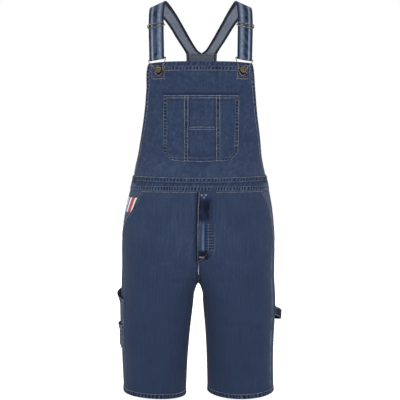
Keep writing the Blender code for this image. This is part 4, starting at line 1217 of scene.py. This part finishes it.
def seam_rows(side, facing, share):
    """The heights of the inner edge of a leg panel at these shares of its rows, and how deep each lies.

    facing is -1 for the front panel and 1 for the back one. The edge runs down the centre seam, under to the
    crotch and down the inside of the leg.
    """

    def seam(z):
        return middle_line(z) + side * SEAM_SHOWN

    upper = np.linspace(WAIST_SEAM, SEAT_CURVE_TOP, 60)
    depth = root(lambda d: field(side, seam(upper), facing * d, upper), np.zeros(60), FARTHEST)
    under = depth[-1] * np.cos(np.linspace(0, math.pi / 2, 60))[1:]
    low, high = np.full(59, -SEAT_CURVE_TOP), np.full(59, CROTCH_LOWEST)
    curve = -root(lambda down: field(side, seam(-down), facing * under, -down), low, high)
    inside = np.linspace(curve[-1], HEMS[side][0], 60)[1:]
    z = np.concatenate([upper, curve, inside])
    depth = np.concatenate([depth, under, np.zeros(59)])
    length = np.append(0, np.cumsum(np.hypot(np.diff(depth), np.diff(z))))
    crotch = len(upper) + len(curve) - 1
    # The crotch stays at the row of the solid that is nearest to it.
    above = round(LEG_ROWS * length[crotch] / length[-1]) / (LEG_ROWS - 1)
    even = np.interp(share, [0, above, 1], [0, length[crotch], length[-1]])
    return np.interp(even, length, z), np.interp(even, length, depth)


def mouth_angle(side, z):
    """The angle on the front of a leg of the hip pocket's edge."""

    def short(angle):
        return side * (round_leg(side, angle, z)[..., 0] - middle_line(z)) - at(POCKET_MOUTHS[side], "out", z)

    return root(short, np.full(np.shape(z), math.pi / 2), np.full(np.shape(z), math.pi))


def hem_height(side, x, z):
    """A row's height: level high up, and along the hem's curve at the bottom."""
    level, slope, rise = HEMS[side]
    across = x - leg_middle(side, z)
    return z + (slope * across + rise * (across / leg_half(side, z)) ** 2) * smooth(z, HEM_REACH, level)


def leg_grid(side, facing):
    """The points of a leg panel, their angles, and how much painted shade each gets near the crotch, where
    the seams meet.

    Its rows are closer together at the hem.
    """
    share_down = np.append(np.linspace(0, 0.955, 143, endpoint=False), np.linspace(0.955, 1, 20))
    inner_z, depth = seam_rows(side, facing, share_down)
    outer_z = WAIST_SEAM + (HEMS[side][0] - WAIST_SEAM) * share_down
    inner = np.abs(leg_middle(side, inner_z) - middle_line(inner_z)) - SEAM_SHOWN
    start = np.maximum(np.where(depth > 0, np.arctan2(depth, inner), 0), SEAM_SHOWN / LEG_RADIUS)
    end = np.full(len(share_down), math.pi - SEAM_SHOWN / LEG_RADIUS)
    mouth_foot = POCKET_MOUTHS[side]["z"][0]
    if facing < 0:
        end = np.where(outer_z > mouth_foot, np.minimum(mouth_angle(side, outer_z), end), end)
    share = np.linspace(0, 1, 117)
    angle = np.outer(start, 1 - share) + np.outer(end, share)
    rows = np.outer(inner_z, 1 - share) + np.outer(outer_z, share)
    turned = angle if facing < 0 else 2 * math.pi - angle
    level = round_leg(side, turned, rows)
    grid = round_leg(side, turned, hem_height(side, level[..., 0], rows))
    if facing < 0:
        reach = (end[:, None] - angle) * LEG_RADIUS / GAPE_REACH
        down = np.clip((rows - WAIST_SEAM) / (mouth_foot - WAIST_SEAM), 0, 1)
        grid = lifted(grid, POCKET_GAPE[side] * np.clip(1 - reach, 0, 1) ** 2 * np.sin(down * math.pi))
    crotch = np.array([middle_line(inner_z[-1]), 0.0, inner_z[depth > 0].min()])
    crotch_shade = np.exp(-((grid - crotch) ** 2).sum(-1) / CROTCH_DARK**2)
    off = grid[..., 0] - crotch[0]
    arch = ARCH_RISE * np.exp(-((off / ARCH_HALF) ** 4)) - ARCH_SEAM * bell(off, 0, SEAM_HALF)
    grid[..., 2] += arch * smooth(-grid[..., 2], 0.685, 0.700)
    return grid, angle, crotch_shade


def make_leg_panel(side, word, facing, panel):
    """One panel of a leg with its hem and seams and, in front, the edge of the hip pocket's mouth."""
    grid, angle, crotch_shade = leg_grid(side, facing)
    grain = (angle * LEG_RADIUS, grid[..., 2])
    leg = Cloth("leg_cloth_" + panel + "_" + word, grid, THIN, grain=grain)
    number = 60 + 5 * side + 10 * facing
    z = leg.z
    front, outer_half = facing < 0, angle > math.pi / 2
    below = 1 - smooth(z, -0.66, -0.60)

    leg.hem("foot", 0.0125, step=0.0006)
    leg.pucker("foot", 0.0005, 0.0100, 0.0008, 0.30, seed=number, light=0.4, slant=0.1)
    leg.sew("foot", 0.0115)
    leg.press("top", 0.0004)
    leg.sew("top", 0.0020)
    # The centre seam and the inseam.
    leg.press("start", 0.0007 * smooth(np.abs(leg.normals[..., 1]), 0.3, 0.8), 0.0035)
    leg.tone -= 0.12 * leg.by("start", 0.0005, 0.0030)
    if front:
        leg.tone += 0.06 * leg.strip("start", 0.0030, 0.0060, 0.003)
        if side > 0:
            leg.sew("start", 0.0024, between=(-0.735, -0.650), colour=1)
            # Painted shade on the inner side of the leg, lower down.
            leg.tone -= 0.035 * (1 - smooth(angle, 0.6, 1.5)) * smooth(-z, 0.60, 0.75)
        else:
            # Painted shadow of the fly on the left front beside the centre seam.
            leg.tone -= 0.14 * leg.by("start", 0.0080, 0.0150) * smooth(z, -0.655, -0.640)
        mouth_foot = POCKET_MOUTHS[side]["z"][0] + 0.004
        in_mouth = smooth(z, mouth_foot, mouth_foot + 0.012)
        leg.tone += 0.16 * leg.by("end", 0, 0.0024) * in_mouth
        leg.sew("end", 0.0018, between=(mouth_foot, 0))
        leg.sew("end", 0.0088, between=(mouth_foot, 0), colour=int(side < 0))
        leg.pucker("end", 0.0026, 0.0080, 0.0004, 0.34, seed=number + 1, light=0.3, where=in_mouth)
        # The line beside the side seam that washing has worn, and darker painted shade where the leg turns
        # away at both sides of its outline.
        out = side * leg.x / (1 + grid[..., 1] / FRONT_VIEW)
        inset = out.max(1, keepdims=True) - out
        worn = bell(inset, WORN_LINE, 0.0024) * below * outer_half
        leg.tone += (0.15 if side > 0 else 0.06) * worn * (1 + 0.7 * noise(z / 0.008, 0, number + 4))
        leg.tone -= (0.06 + 0.24 * below) * bump(inset, 0.0026, 0.0044, 0.0011) * outer_half
        turning = bump(out - out.min(1, keepdims=True), 0.0026, 0.0052, 0.0012)
        leg.tone -= 0.26 * turning * below * ~outer_half
    else:
        leg.sew("start", 0.0020, 0.0085)
        leg.sew("end", 0.0020)
        leg.pucker("start", 0.0028, 0.0078, 0.0004, 0.12, seed=number + 1, slant=0.25)
    # The side seam.
    leg.press("end", 0.0006)
    leg.tone -= 0.10 * leg.by("end", 0.0003, 0.0020) * below
    leg.pucker("end", 0.0020, 0.0120, 0.0004, 0.08, 0.0060, number + 2, slant=0.25, where=below)
    leg.crease(CREASES[side, facing], -18 if front else -8)
    # Broad unevenness, and painted shade: the lower leg a little darker than the hips, and the cloth darker
    # round the crotch.
    leg.height += 0.0005 * noise(leg.grain[0] / 0.045, z / 0.070, number + 6)
    leg.tone += 0.016 * noise(leg.grain[0] / 0.060, z / 0.090, number + 7)
    leg.tone -= 0.068 * smooth(-z, 0.50, 0.85) + 0.25 * crotch_shade
    # Where the seam turns under the body its two panels meet edge to edge.
    sideways = 1 - smooth(np.abs(leg.normals[..., 1]), 0.6, 0.95)
    leg.height *= 1 - sideways * leg.by("start", 0.0010, 0.0090)
    finish_cloth(leg, "leg_" + panel + "_" + word, "hung", ["waistband_" + panel])


def make_fly():
    """The stitched fly on the right front, its lower end a curve back to the centre seam."""
    z = steps_between(FLY_ROWS, 0.0016)[:, None]
    reach = np.sqrt(1 - (np.clip(FLY_CURVE_TOP - z, 0, None) / FLY_CURVE_TALL) ** 2)
    left = FLY_LEFT - 0.0020 * smooth(-z, 0.480, 0.520) - 0.0012 * smooth(-z, 0.540, 0.565)
    x = left + (FLY_RIGHT - left) * reach * np.linspace(0, 1, 61)
    fly = Cloth("fly_cloth", patch_at(x, z, OVER + THIN_PATCH), LINING_THIN)
    across, down = fly.x - left, FLY_ROWS[0] - z
    for edge, deep, wide in (("end", 0.0010, 0.0050), ("foot", 0.0012, 0.0060), ("start", 0.0004, 0.0015)):
        fly.press(edge, deep, wide)
    fly.tone -= 0.80 * (1 - smooth(across, 0.0014, 0.0030))
    fly.sew("start", 0.0044, between=(-0.610, 0))
    fly.sew("start", 0.0044, between=(-0.9, -0.610), colour=1)
    fly.sew("start", 0.0090, between=(-0.612, -0.545), colour=1)
    fly.sew("end", 0.0014, 0.0175, trim=(0.0, 0.002), between=(-0.9, -0.552), colour=1)
    fly.tone -= 0.20 * bump(across, 0.0064, 0.0078, 0.0012)
    fly.tone -= 0.16 * bump(down, 0.1560, 0.1760, 0.006)
    # The zip under it shows as a hollow high up, with painted shade in it, and a worn ridge lower down.
    patchiness = 1 + 0.5 * noise(across / 0.0035, down / 0.010, 71)
    hollow = bump(across, 0.0062, 0.0400, 0.004) * bump(down, 0.016, 0.070, 0.018)
    deepest = bump(across, 0.0060, 0.0305, 0.004) * bump(down, 0.020, 0.070, 0.018)
    low = bump(down, 0.078, 0.150, 0.010)
    ridge = bell(across, 0.0174, 0.0026) * low
    fly.height += 0.0006 * (ridge - hollow)
    fly.tone -= (0.14 * hollow + 0.26 * deepest) * patchiness + 0.10 * bell(across, 0.0265, 0.0040) * hollow
    fly.tone += 0.32 * ridge * (0.85 + 0.3 * noise(across / 0.003, down / 0.010, 72))
    fly.tone -= 0.16 * bell(across, 0.0232, 0.0022) * low
    fly.tone -= 0.50 * bump(across, 0.0060, 0.0285, 0.004) * bump(down, 0.146, 0.166, 0.008) * patchiness
    # Ripples beside it, with painted light and shade that follow them, and painted highlights where threads
    # shine at its top.
    rippled = bump(across, 0.0250, 0.0440, 0.006) * bump(down, 0.078, 0.160, 0.02)
    wave = np.cos(2 * math.pi * (down / 0.0064 + 0.5 * noise(across / 0.010, down / 0.020, 73)))
    fly.height += 0.0004 * wave * rippled
    fly.tone += (0.20 * wave * (0.7 + 0.5 * noise(across / 0.006, down / 0.012, 75)) - 0.06) * rippled
    for spot_across, spot_down in FLY_SPOTS:
        fly.tone += 0.60 * np.exp(-((across - spot_across) ** 2 + (down - spot_down) ** 2) / 0.0022**2)
    finish_cloth(fly, "fly", "laid", ["leg_front_right"])


def make_tacks():
    """The bar tacks: close stitches across the ends of a seam."""
    for name, left, top, wide, tall, lean in TACKS:
        step = np.arange(0, tall, TACK_PITCH)[:, None]
        pairs = front_or_back(left + lean * step + (0, wide), top - step - (0, TACK_LEAN), -1)
        out = outward(pairs)
        pairs = pairs + out * TACK_LIFT
        place(name, capsules(name, pairs[:, 0], pairs[:, 1], out.mean(1)), TACK, "denim")


def pocket_grid(side, z):
    """The surface behind a mouth: inside the front panel at first, then rising to the body's surface."""
    edge = mouth_angle(side, z)
    end = math.pi - SEAM / LEG_RADIUS
    start = np.minimum(edge, end - BAG_LEAST) - FACING_OVERLAP / LEG_RADIUS
    angle = start + (end - start) * np.linspace(0, 1, 41)
    wide = np.maximum(end - edge, 2 * BAG_LEAST)
    rise = smooth(angle - edge, BAG_START, wide) * smooth(end - edge, *BAG_WIDE)
    under = CLOTH + GAP + POCKET_DROP
    return lifted(round_leg(side, angle, z), -under * (1 - rise)), angle


def make_hip_pockets():
    """Behind each mouth a denim facing, then the pocket cloth: striped on the left, denim on the right."""
    for side, name, part, high, low in HIP_LAYERS:
        word, facing, striped = WORDS[side], name == "pocket_facing_", part == "_print"
        z = steps_between((high, low))[:, None]
        grid, angle = pocket_grid(side, z)
        grain = (angle * LEG_RADIUS, grid[..., 2])
        piece = Cloth(name + "cloth_" + word + part, grid, LINING_THIN, grain=grain)
        piece.press("top", 0.0003)
        # Painted shade along the facing's lower edge.
        piece.tone -= 0.10 * piece.by("foot", 0.001, 0.006) * facing
        if not striped:
            # A little lighter, with painted shadow just inside the mouth's edge and painted shade deeper in,
            # towards the side seam.
            inside = (angle - mouth_angle(side, z)) * LEG_RADIUS
            piece.tone += 0.10 - 0.34 * (1 - smooth(inside, 0.0010, 0.0040))
            piece.tone -= 0.24 * smooth(angle, math.pi - 0.30, math.pi - 0.16)
            piece.sew("foot", 0.0015, colour=1)
        piece.height += 0.0004 * noise(angle / 0.12, piece.z / 0.018, 80 + side)
        rests_on = "waistband_back" if facing else "pocket_facing_" + word
        look = ("pocket_cloth", LINING) if striped else ("denim", DENIM)
        finish_cloth(piece, name + word, "hung", [rests_on], *look)


def make_thigh_pockets():
    """The patch pockets round the outside of the left thigh, their mouths standing off the leg."""
    for name, front, back, top, slant, foot, gape, reach, lift, columns, rows, seed in THIGH_POCKETS:
        share = np.linspace(0, 1, columns)
        mouth = top + slant * share
        z = mouth + (foot - mouth) * (np.linspace(0, 1, rows) ** 1.3)[:, None]
        angle = np.radians(front + (back - front) * share)
        bulge = gape * np.sin(math.pi * share) * np.clip(1 - (mouth - z) / reach, 0, 1) ** 2
        grid = lifted(round_leg(-1, angle, z), lift + OVER + PATCH + bulge)
        pocket = Cloth(name + "_cloth", grid, PATCH_THIN)
        pocket.hem("top", 0.0120, step=0.0004, worn=0.16)
        pocket.sew("top", 0.0018, 0.0110)
        for number, edge in enumerate(("start", "end", "foot")):
            pocket.hem(edge, 0.0095, step=0.0003, worn=0.12)
            pocket.press(edge, 0.0010)
            pocket.pucker(edge, 0.0032, 0.0080, 0.0003, 0.34, seed=seed + number, light=0.3)
            pocket.sew(edge, 0.0020, 0.0092, trim=0.002)
        pocket.height += 0.0005 * noise(pocket.reach["start"] / 0.035, z / 0.045, seed + 5)
        # Painted shade along the side of the pocket seen at the leg's outline, and the whole pocket a little
        # darker.
        inset = pocket.x - pocket.x.min(1, keepdims=True)
        pocket.tone -= 0.34 * (1 - smooth(inset, 0.0024, 0.0052)) + 0.04
        finish_cloth(pocket, name, "laid", ["leg_front_left", "leg_back_left"])


def make_hammer_loop():
    line = curve_through(HAMMER_LOOP, 10)
    angle, z, off = np.radians(line[:, :1]), line[:, 1:2] - HAMMER_SAG * line[:, 2:], line[:, 2:]
    edges = HAMMER_HALF * np.linspace(1, -1, 25)
    loop = Cloth("hammer_loop_cloth", lifted(round_leg(1, angle, z + edges), off), LOOP_THIN, centred=True)
    for edge, seed in (("start", 95), ("end", 96)):
        loop.press(edge, 0.0004, 0.0020)
        loop.tone += 0.20 * loop.by(edge, 0.0008, 0.0034)
        loop.sew(edge, 0.0022, trim=0.002)
        loop.pucker(edge, 0.0030, 0.0065, 0.0003, 0.16, seed=seed, slant=0.25)
    for edge in ("top", "foot"):
        loop.sew(edge, 0.0030, 0.0060, trim=0.002)
    # Painted shade: the loop darker all over where it stands off the leg, and its inner face darker still,
    # facing the leg.
    loop.tone -= 0.34
    loop.inner_tone -= 0.50
    finish_cloth(loop, "hammer_loop", "laid", ["leg_front_right", "leg_back_right"])


# ---- Straps and their fittings ----


def strap_rows(side, steps=STRAP_STEPS):
    """(outer, inner) edges of a strap's middle, row by row from its lower fold, and the way out."""
    rows = curve_through(np.array(STRAP) * (side, 1.0, 1.0), steps)
    rows[..., 0] += BACK_DRIFT * smooth(rows[..., 1], 0.0, 0.08)
    across = rows[:, 1] - rows[:, 0]
    along = np.gradient(rows.mean(1), axis=0)
    return rows, unit(side * np.cross(along, across))


def make_strap(side, word):
    """One ribbon from the back over the shoulder, round the buckle's bar and up behind itself."""
    rows, out = strap_rows(side, STRAP_FINE)
    coarse, _ = strap_rows(side)
    down = unit(coarse[0].mean(0) - coarse[1].mean(0))
    fold = []
    for angle in np.radians(np.arange(10, 180, 10)):
        fold.append(rows[0] + FOLD_RADIUS * (down * math.sin(angle) - out[0] * (1 - math.cos(angle))))
    behind_count = (BEHIND_ROWS - 1) * STRAP_FINE // STRAP_STEPS + 1
    behind = (rows - 2 * FOLD_RADIUS * out[:, None])[:behind_count]
    narrow = BEHIND_NARROW * smooth(np.arange(behind_count) / 8.0, -1, 1)[:, None]
    behind[:, 1] += (behind[:, 0] - behind[:, 1]) * narrow
    edges = np.concatenate([rows[::-1], fold, behind])
    share = np.linspace(0, 1, 31)[:, None]
    grid = edges[:, :1] * (1 - share) + edges[:, 1:] * share
    facing = out[len(rows) - 1 - len(grid) // 2]
    strap = Cloth("strap_cloth_" + word, grid, DOUBLE, facing=facing, centred=True)
    c, s = strap.reach["start"] / lengths(grid, 1)[:, -1:], strap.reach["top"]
    for edge in ("start", "end"):
        strap.press(edge, 0.0007, 0.0026)
        strap.sew(edge, 0.0085, line=0.0)
    first, second = (0.22, 0.73) if side < 0 else (0.24, 0.74)
    blotch = noise(s / 0.0085, c / 0.35, 100 + side)
    strap.height += 0.0003 * noise(s / 0.006, c / 0.3, 104 + side)
    strap.tone -= 0.26 * (1 - smooth(c, 0.04, 0.12)) + 0.24 * smooth(c, 0.90, 0.96)
    strap.tone += 0.19 * bump(c, 0.14, 0.90, 0.08)
    strap.tone += 0.32 * bell(c, first, 0.050) * (0.85 + 0.3 * noise(s / 0.005, 0, 101))
    strap.tone += 0.24 * bell(c, second, 0.090) * (0.80 + 0.4 * noise(s / 0.005, c / 0.1, 102))
    strap.tone -= 0.40 * bump(c, 0.31, 0.55, 0.06) * (0.30 + 0.70 * smooth(blotch, -0.25, 0.15))
    strap.tone += 0.05 * noise(s / 0.004, c / 0.08, 103)
    strap.inner_tone -= 0.42 * (1 - smooth(c, 0.12, 0.24)) + 0.42 * smooth(c, 0.76, 0.88)
    strap.inner_tone += 0.24 * bump(c, 0.20, 0.80, 0.12) + 0.05 * noise(s / 0.03, c / 0.5, 105)
    finish_cloth(strap, "strap_" + word, "stretched", ["back_bib", "buckle_" + word], "strap_denim")


def joined_rings(rings, closed=False):
    """Points and faces of a stack of rings of points, with flat ends unless the last meets the first."""
    rings = np.asarray(rings)
    levels, sides = rings.shape[:2]
    number = np.arange(levels * sides).reshape(levels, sides)
    low, high = (number, np.roll(number, -1, 0)) if closed else (number[:-1], number[1:])
    quads = [np.stack([low, np.roll(low, -1, 1), np.roll(high, -1, 1), high], -1).reshape(-1, 4)]
    if not closed:
        for ring, turned in ((number[0], -1), (number[-1], 1)):
            near, far = ring[: sides // 2], ring[: sides // 2 - 1 : -1]
            quads.append(np.stack([near[:-1], near[1:], far[1:], far[:-1]], 1)[:, ::turned])
    return rings.reshape(-1, 3), np.concatenate(quads)


def tube(line, radius, closed=False, sides=14):
    """Points and faces of a bent wire along points, with rounded ends unless it is closed."""
    line = np.asarray(line, float)
    along = unit(np.roll(line, -1, 0) - np.roll(line, 1, 0) if closed else np.gradient(line, axis=0))
    radii = np.full(len(line), radius)
    if not closed:
        for angle in (0.5, 1.0, 1.4):
            ends = radius * (math.sin(angle) - math.sin(angle - 0.5) if angle > 0.5 else math.sin(angle))
            line = np.concatenate([line[:1] - along[:1] * ends, line, line[-1:] + along[-1:] * ends])
            along = np.concatenate([along[:1], along, along[-1:]])
            radii = np.pad(radii, 1, constant_values=radius * math.cos(angle))
    flat = np.linalg.svd(line - line.mean(0))[2][2]
    first = unit(np.cross(along, flat))
    turn = np.arange(sides)[None, :, None] * 2 * math.pi / sides
    spokes = first[:, None] * np.cos(turn) + np.cross(along, first)[:, None] * np.sin(turn)
    return joined_rings(line[:, None] + spokes * radii[:, None, None], closed)


def set_against(points, normal, across, middle):
    """Points turned so that +Z is a normal and +X nearly a direction across it, then moved to a middle."""
    z = Vector(normal).normalized()
    x = (Vector(across) - Vector(across).project(z)).normalized()
    rotation = np.array(Matrix((x, z.cross(x), z)).transposed())
    return points @ rotation.T + middle


def fitting(kind, word, points, quads, finish, slot):
    name = kind + "_metal_" + word
    place(name, mesh_from(name, points, quads), finish, slot, kind + "_" + word)


def button_place(side):
    """The middle of the wire round a button, and the way out of the bib there."""
    point = front_or_back(side * BUTTON_X, BUTTON_Z, -1)
    return point + outward(point) * WIRE_LIFT, outward(point)


def make_button(side, word):
    """A shank button: a rolled rim, a sunk ring of fine ribs and a domed middle, on a post with a foot."""
    middle, half, height, half_high = BUTTON_RIM
    over = np.radians(np.arange(-60, 181, 20))
    rim = [(middle + half * math.sin(a), height + half_high * math.cos(a)) for a in over]
    profile = (*BUTTON_FACE, *rim, *BUTTON_POST)
    turn = np.arange(72) * 2 * math.pi / 72
    points, quads = joined_rings([[(r * math.cos(a), r * math.sin(a), h) for a in turn] for r, h in profile])
    radius, angle = np.hypot(points[:, 0], points[:, 1]), np.arctan2(points[:, 1], points[:, 0])
    ribs = np.cos(angle * 24) * bump(radius, 0.0028, 0.0050, 0.0006) * (points[:, 2] > 0.0025)
    points[:, 2] += 0.00025 * ribs
    button, normal = button_place(side)
    points = set_against(points, normal, (1.0, 0.0, 0.0), button)
    fitting("button", word, points, quads, BRASS, "antique_brass")


def make_buckle(side, word):
    """A bent wire: its bar inside the strap's fold, its pointed loop round the button."""
    rows, out = strap_rows(side)
    bar = rows[0].mean(0) - FOLD_RADIUS * out[0]
    along = unit(rows[0][1] - rows[0][0])
    down = unit(rows[0].mean(0) - rows[1].mean(0))
    button, normal = button_place(side)
    across = unit(along - normal * (along @ normal))
    below = np.cross(across, normal)
    below = below if below[2] < 0 else -below
    halves = []
    for way in (1, -1):
        half = [bar + way * along * x + down * z for x, z in BUCKLE_BAR]
        halves.append(half + [button + way * across * x + below * z for x, z in BUCKLE_LOOP])
    loop = halves[0] + [button + below * BUCKLE_TIP] + halves[1][:0:-1]
    line = curve_through(loop[-3:] + loop + loop[:3], 6)[3 * 6 : (3 + len(loop)) * 6]
    fitting("buckle", word, *tube(line, WIRE_RADIUS, closed=True), WIRE, "dark_wire")


def make_slider(side, word):
    """A cast slider: a rounded frame across the strap's face, a bar behind it, and the posts between."""
    rows, out = strap_rows(side)
    below = int(SLIDER_ROW)
    share = SLIDER_ROW - below
    edges = rows[below] * (1 - share) + rows[below + 1] * share
    normal = out[below] * (1 - share) + out[below + 1] * share
    clear = STRAP_THICK / 2 + SLIDER_CLEAR + BAR_RADIUS
    half, up = (SLIDER_WIDE - POST_WIDE) / 2, SLIDER_TALL / 2 - BAR_RADIUS
    corner, ring = SLIDER_CORNER, []
    for quarter, (x, y) in enumerate(((half, up), (-half, up), (-half, -up), (half, -up))):
        x, y = x - math.copysign(corner, x), y - math.copysign(corner, y)
        for angle in np.radians(np.arange(0, 91, 15) + 90 * quarter):
            ring.append((x + corner * math.cos(angle), y + corner * math.sin(angle), clear))
    parts = [tube(ring, BAR_RADIUS, closed=True)]
    parts.append(tube([(half * t, 0.0, -clear) for t in np.linspace(-1, 1, 30)], BAR_RADIUS))
    for end in (-1, 1):
        parts.append(tube([(end * half, 0.0, clear * t) for t in np.linspace(1, -1, 12)], BAR_RADIUS * 1.5))
    for t in np.linspace(-0.8, 0.8, 9):
        tooth = [(half * t, -up + 0.0008 + rise, clear - rise * 0.6) for rise in (0.0, 0.0006, 0.0012)]
        parts.append(tube(tooth, 0.0005, sides=8))
    offsets = np.cumsum([0] + [len(points) for points, _ in parts])
    quads = np.concatenate([faces + offset for (_, faces), offset in zip(parts, offsets)])
    points = np.concatenate([points for points, _ in parts])
    points = set_against(points, normal, edges[1] - edges[0], edges.mean(0))
    fitting("slider", word, points, quads, WIRE, "dark_wire")


# ---- The stage ----


def make_stage():
    """A seamless white floor, soft light from all round, and the camera in front."""
    mesh = bpy.data.meshes.new("floor")
    mesh.from_pydata([(-6, -6, FLOOR), (6, -6, FLOOR), (6, 6, FLOOR), (-6, 6, FLOOR)], [], [(0, 1, 2, 3)])
    paper = Paint("floor_paper", {"Base Color": (0.8, 0.8, 0.8, 1), "Roughness": 1.0})
    glow = paper.node("Emission", {"Color": (1, 1, 1, 1), "Strength": 0.86})
    both = paper.node("AddShader", {0: paper.shader.outputs[0], 1: glow.outputs[0]})
    paper.give(paper.tree.nodes["Material Output"], {"Surface": both.outputs[0]})
    mesh.materials.append(paper.material)
    linked("floor", mesh)

    scene = bpy.context.scene
    scene.world = bpy.data.worlds.new("studio")
    scene.world.use_nodes = True
    back = scene.world.node_tree.nodes["Background"]
    back.inputs["Color"].default_value = (1, 1, 1, 1)
    back.inputs["Strength"].default_value = WORLD_LIGHT

    for name, where, power, size in LAMPS:
        light = bpy.data.lights.new(name, "AREA")
        light.shape, light.size, light.energy = "DISK", size, power
        lamp = linked(name, light)
        lamp.location = where
        lamp.rotation_euler = (Vector((0, 0, -0.5)) - Vector(where)).to_track_quat("-Z", "Y").to_euler()

    lens = bpy.data.cameras.new("camera")
    lens.lens, lens.sensor_width = CAMERA_LENS, 36.0
    camera = linked("camera", lens)
    camera.location = CAMERA_PLACE
    camera.rotation_euler = (math.radians(90 - CAMERA_TILT), 0, 0)
    scene.camera = camera
    scene.view_settings.view_transform = "Standard"


def main():
    make_stage()
    make_bib()
    make_chest_pocket()
    make_centre_pocket()
    make_button_patches()
    make_back()
    make_waistbands()
    for side, word in SIDES:
        for facing, panel in FACINGS:
            make_leg_panel(side, word, facing, panel)
        for make in (make_strap, make_slider, make_buckle, make_button):
            make(side, word)
    make_fly()
    make_tacks()
    make_hip_pockets()
    make_thigh_pockets()
    make_hammer_loop()


main()
